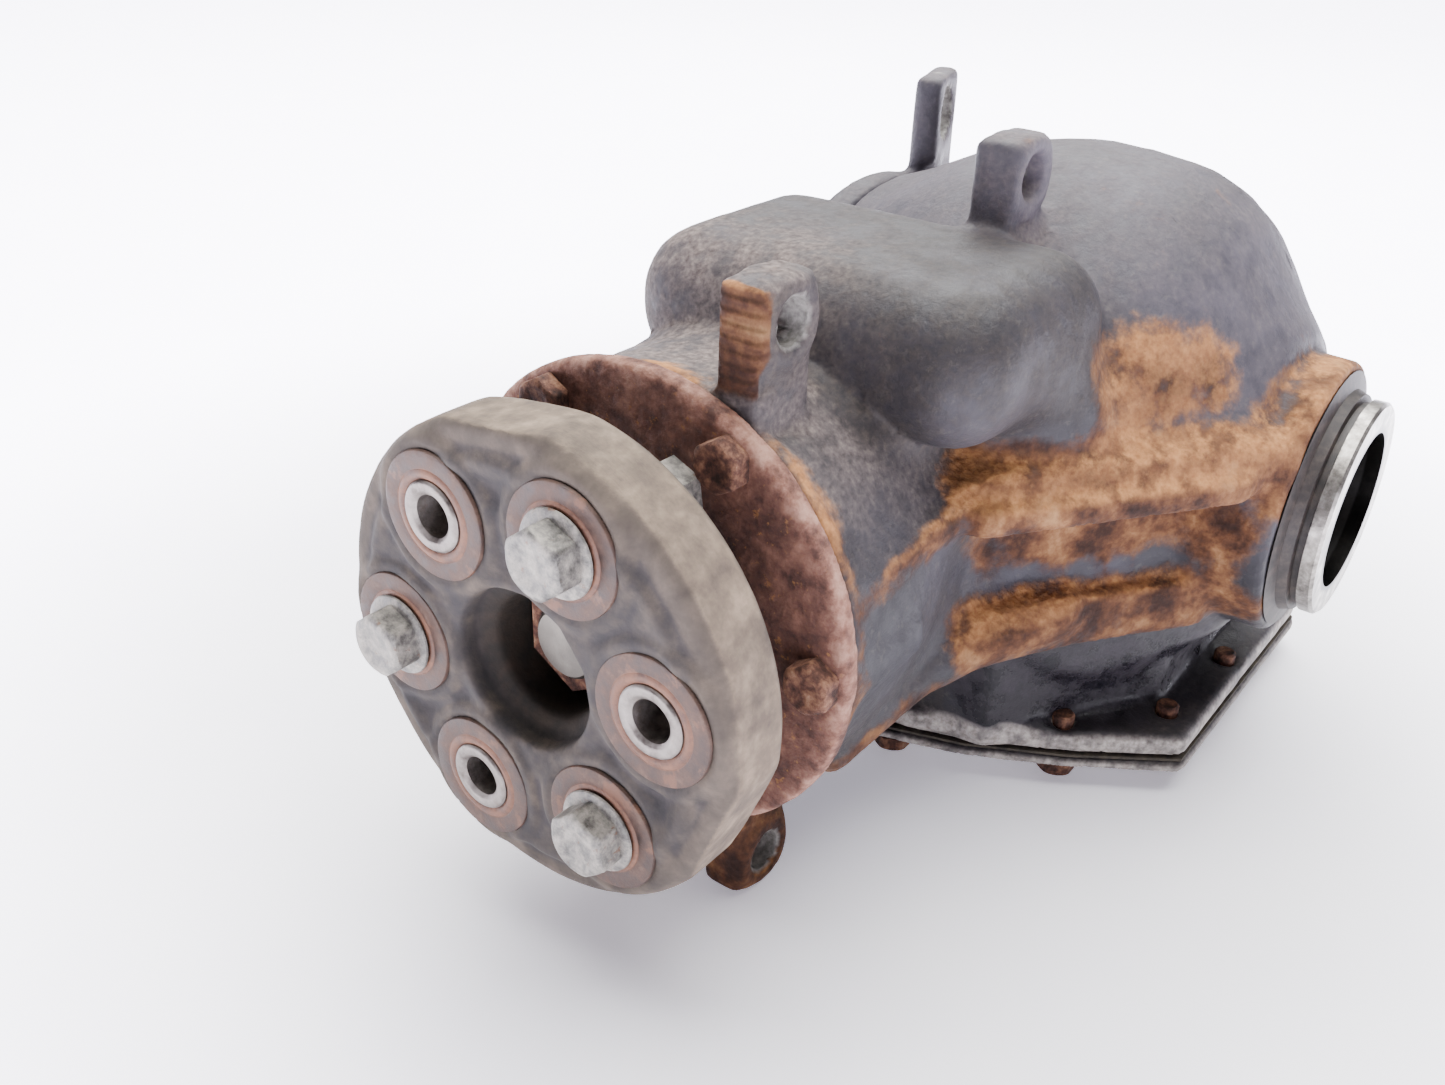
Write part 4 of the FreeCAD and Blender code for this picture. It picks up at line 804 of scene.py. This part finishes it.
def make_coupling(finish):
    """Rubber disc."""
    field = Field(["flex_coupling"], 0.9, 8)
    field.slide_x(coupling_height(field.y, field.z), -14, -2)
    field.values = blurred(field.values, 1)
    mesh, points = field.mesh("coupling_rubber", 0.01)
    bend = field.at(blurred(field.values, 3), points)
    normals = normals_of(mesh)
    points += normals * (lumps(points, 12, 5) * 0.12 + lumps(points, 4, 6) * 0.06)[:, None]
    set_points(mesh, points)
    for label, values in coupling_masks(Surface(points, normals, bend)).items():
        paint(mesh, label, values)
    add_piece("coupling_rubber", mesh, finish, "flex_coupling")


# ------------------------------------------------------------ turned and hexagonal hardware

def frame_of(axis):
    """Two directions square to an axis."""
    axis = Vector(axis).normalized()
    side = axis.orthogonal().normalized()
    return np.array(side), np.array(axis.cross(side))


def lathe_mesh(rings, closed_ends, count):
    """Faces of stacked rings with count points each."""
    faces = []
    for row in range(rings - 1):
        for step in range(count):
            following = (step + 1) % count
            faces.append((row * count + step, row * count + following,
                          (row + 1) * count + following, (row + 1) * count + step))
    if closed_ends:
        faces.append(tuple(reversed(range(count))))
        faces.append(tuple((rings - 1) * count + step for step in range(count)))
    return faces


class Heap:
    """Vertices, faces and a painted value gathered for one mesh."""

    def __init__(self):
        self.points, self.faces, self.values = [], [], []

    def add(self, points, faces, value=0.0):
        """Append a part, in millimetres."""
        start = len(self.points)
        self.points.extend(points)
        self.faces.extend(tuple(start + index for index in face) for face in faces)
        self.values.extend([value] * len(points) if np.isscalar(value) else value)

    def piece(self, name, finish, *replaced, label=None):
        """Make the mesh and place it."""
        mesh = bpy.data.meshes.new(name)
        mesh.from_pydata([tuple(point) for point in np.array(self.points) * MM], [], self.faces)
        mesh.update()
        if label:
            paint(mesh, label, np.array(self.values))
        return add_piece(name, mesh, finish, *replaced, sharp=32)


def turned(heap, base, axis, profile, count=56, ring=None):
    """Revolve a closed (along, radius) profile about an axis through base."""
    axis = np.array(axis, float)
    one, two = frame_of(axis)
    points, values = [], []
    for along, radius in profile:
        for step in range(count):
            angle = 2 * math.pi * step / count
            points.append(base + along * axis + radius * (math.cos(angle) * one + math.sin(angle) * two))
            values.append(ring(along, radius) if ring else 0.0)
    faces = lathe_mesh(len(profile), False, count)
    last = (len(profile) - 1) * count
    for step in range(count):
        following = (step + 1) % count
        faces.append((last + step, last + following, following, step))
    heap.add(points, faces, values)


def hex_bolt(heap, solid, axis, collar, count=72):
    """Rebuild one CAD bolt with a chamfered head, over a round collar if it has one."""
    axis = np.array(axis, float)
    along = solid @ axis
    across = solid - along[:, None] * axis
    centre = (across.min(0) + across.max(0)) / 2
    centre -= (centre @ axis) * axis
    out = across - centre
    gap = np.linalg.norm(out, axis=1)
    corner = gap[gap < collar - 0.5].max() if collar else gap.max()
    head = abs(gap - corner) < 0.2
    one, two = frame_of(axis)
    farthest = out[head][0]
    phase = math.atan2(farthest @ two, farthest @ one)
    under, top, tip = along[head].min(), along[head].max(), along.min()
    shank = gap[(gap < corner * 0.8) & (gap > 0.5)].max()
    flats = corner * math.cos(math.pi / 6)

    def hexagon(angle):
        """Radius of the hexagon at an angle."""
        turn = (angle - phase + math.pi / 6) % (math.pi / 3) - math.pi / 6
        return min(flats / math.cos(math.pi / 6 - abs(turn)), corner * 0.975)

    high = top - under
    seat = along[gap > collar - 0.5].min() if collar else under
    profile = [(tip, shank - 0.8), (tip + 0.8, shank), (seat, shank)]
    if collar:
        profile += [(seat, collar - 0.3), (seat + 0.4, collar), (seat + 0.9, collar - 0.2),
                    (under, collar - 1.4)]
    profile += [(under + 0.02, None), (top - high * 0.3, None), (top - high * 0.2, None),
                (top - high * 0.12, None), (top - high * 0.05, None), (top, flats * 0.86),
                (top - 0.05, flats * 0.7), (top - 0.5, flats * 0.55), (top - 0.6, flats * 0.2)]
    points = []
    for level, radius in profile:
        for step in range(count):
            angle = 2 * math.pi * step / count
            reach = radius
            if reach is None:
                reach = min(hexagon(angle), flats * 0.9 + (top - level) * 1.5)
            points.append(centre + level * axis
                          + reach * (math.cos(angle) * one + math.sin(angle) * two))
    heap.add(points, lathe_mesh(len(profile), True, count))


def make_bolts(name, finish, replaced, axis, collar=0.0):
    """Rebuild every bolt of a CAD node."""
    heap = Heap()
    for solid in solids_of(replaced):
        hex_bolt(heap, solid, axis, collar)
    heap.piece(name, finish, replaced)


def make_end_plates(finish):
    """Round plates on both faces of the coupling, with a bead round each sleeve."""
    heap = Heap()
    for solid in solids_of("coupling_end_plates"):
        low, high = solid.min(0), solid.max(0)
        centre = (low + high) / 2
        outer, thick = (high[1] - low[1]) / 2, high[0] - low[0]
        front = centre[0] > -15
        base = np.array([low[0] if front else high[0], centre[1], centre[2]])
        axis = (1, 0, 0) if front else (-1, 0, 0)
        turned(heap, base, axis, [
            (0, 10.6), (0, outer), (thick - 0.9, outer), (thick - 0.45, outer - 0.25),
            (thick - 0.25, outer - 0.8), (thick - 0.35, outer - 5), (thick - 0.5, 13.6),
            (thick - 0.1, 12.9), (thick, 12.2), (thick - 0.1, 11.5), (thick - 0.5, 10.9),
            (thick - 0.7, 10.6)], ring=lambda along, radius: 1.0 if radius < 13.7 else 0.0)
    heap.piece("coupling_plates", finish, "coupling_end_plates", label="ring")


def make_sleeves(finish):
    """Steel sleeves of the coupling, with chamfered mouths."""
    heap = Heap()
    for solid in solids_of("coupling_sleeves"):
        low, high = solid.min(0), solid.max(0)
        centre = (low + high) / 2
        outer, length = (high[1] - low[1]) / 2, high[0] - low[0]
        gap = np.hypot(solid[:, 1] - centre[1], solid[:, 2] - centre[2])
        bore = gap.min()
        base = np.array([low[0], centre[1], centre[2]])
        turned(heap, base, (1, 0, 0), [
            (0.7, outer), (length - 0.7, outer), (length - 0.2, outer - 0.4), (length, outer - 0.9),
            (length, bore + 1.5), (length - 0.25, bore + 1.0), (length - 1.1, bore),
            (1.1, bore), (0.25, bore + 1.0), (0, bore + 1.5), (0, outer - 0.9), (0.2, outer - 0.4)])
    heap.piece("coupling_sleeve_set", finish, "coupling_sleeves")


# ------------------------------------------------------------ finishes of the nodes that stay

def finish_kept_nodes():
    """Give every CAD node that still shows its own material."""
    steel = bright_gear_finish("ground_steel")
    gear = bright_gear_finish("gear_steel", "7f7a72", 0.3)
    by_slot = {
        "bearing_steel": steel,
        "gear_steel": gear,
        "cast_case": dull_finish("case_iron", "3a3733", "5b564f", 0.55, 6, 0.5),
        "cast_aluminium": dull_finish("dull_aluminium", "55534f", "8b8781", 0.6, 9, 0.4),
        "gasket": dull_finish("gasket_paper", "2a2622", "4b443a", 0.9, 4),
        "zinc_bolts": zinc_finish(),
        "rusty_bolts": rusty_bolt_finish(),
        "seal_rubber": dull_finish("black_seal", "0f0f10", "232325", 0.5, 5),
        "copper_washer": dull_finish("copper", "6b3d28", "a86a48", 0.4, 3, 0.9, 0.05),
        "bronze_washer": dull_finish("bronze", "77592f", "a98850", 0.35, 4, 0.9, 0.05),
        "coupling_bolt_zinc": zinc_finish(),
        "machined_collar": collar_finish(),
    }
    for name, obj in frame["nodes"].items():
        if not obj.hide_render and SLOT_OF[name] in by_slot:
            obj.data.materials.clear()
            obj.data.materials.append(by_slot[SLOT_OF[name]])
            obj.data.shade_smooth()


# ------------------------------------------------------------ surroundings

# the floor glows like a lit white sheet, fully half a metre out and only faintly under the part, a
# painted shadow round it
GLOW_REACH, GLOW_STRENGTH = (150, 560), (0.4, 8.0)


def area_light(name, place, target, size, power):
    """A square soft light aimed at a point."""
    data = bpy.data.lights.new(name, "AREA")
    data.shape = "SQUARE"
    data.size = size
    data.energy = power
    light = bpy.data.objects.new(name, data)
    light.location = place
    light.rotation_euler = (Vector(target) - Vector(place)).to_track_quat("-Z", "Y").to_euler()
    bpy.context.scene.collection.objects.link(light)


def make_stage():
    """Pale glowing floor, dimmed round the part as a painted shadow, soft studio light and a plain grey
    surround.
    """
    low, high = cad_box
    middle = (low + high) / 2
    bpy.ops.mesh.primitive_plane_add(size=8, location=(middle.x, middle.y, low.z - 0.0005))
    floor = bpy.context.object
    floor.name = "floor"
    f = Finish("pale_floor")
    f.shader.inputs["Emission Color"].default_value = tone("f1eeff")
    # the glow fades towards the part: a painted shadow
    glow = f.ease(f.vector("LENGTH", f.place), *GLOW_REACH, *GLOW_STRENGTH)
    f.tree.links.new(glow, f.shader.inputs["Emission Strength"])
    mottle = f.ease(f.noise(90, 3), 0.3, 0.7)
    floor.data.materials.append(f.done(f.mix(mottle, "f4f3f8", "faf9fc"), 0.7))
    world = bpy.data.worlds.new("studio")
    world.use_nodes = True
    world.node_tree.nodes["Background"].inputs[0].default_value = tone("f3f0ff")
    world.node_tree.nodes["Background"].inputs[1].default_value = 0.25
    bpy.context.scene.world = world
    area_light("top", (-0.55, -0.15, 1.6), middle, 2.2, 150)
    area_light("back", (-1.3, -0.6, 1.0), middle, 1.2, 22)


def make_camera():
    """Camera at the low three-quarter view onto the coupling."""
    right = Vector((-0.615, 0.788, 0.025))
    up = Vector((-0.371, -0.317, 0.873))
    back = Vector((0.696, 0.527, 0.488))
    place = Vector((0.2034, 0.2231, 0.2088))
    data = bpy.data.cameras.new("camera")
    data.sensor_width = 36
    data.lens = 33.32
    data.clip_start = 0.01
    camera = bpy.data.objects.new("camera", data)
    back.normalize()
    right = (right - right.dot(back) * back).normalized()
    up = back.cross(right)
    rotation = Matrix((right, up, back)).transposed()
    camera.matrix_world = Matrix.Translation(place) @ rotation.to_4x4()
    bpy.context.scene.collection.objects.link(camera)
    bpy.context.scene.camera = camera


# ------------------------------------------------------------ build

make_camera()
make_stage()
cast = cast_finish()
plate = rusty_plate_finish()
bolt_rust = rusty_bolt_finish()
zinc = zinc_finish()
make_housing(cast)
make_left_cover(cast)
make_bottom_cover(cast)
make_front_cover(plate)
make_input_flange(plate)
make_coupling(rubber_finish())
make_end_plates(end_plate_finish())
make_sleeves(worn_steel_finish("sleeve_steel", "534b46", "97908a"))
make_bolts("coupling_bolt_set", zinc, "coupling_bolts", (1, 0, 0), 12.5)
make_bolts("front_bolt_set", bolt_rust, "front_cover_bolts", (1, 0, 0))
make_bolts("cover_bolt_set", bolt_rust, "cover_bolts", (0, 0, -1))
make_bolts("left_bolt_set", bolt_rust, "left_cover_bolts", (0, -1, 0))
finish_kept_nodes()
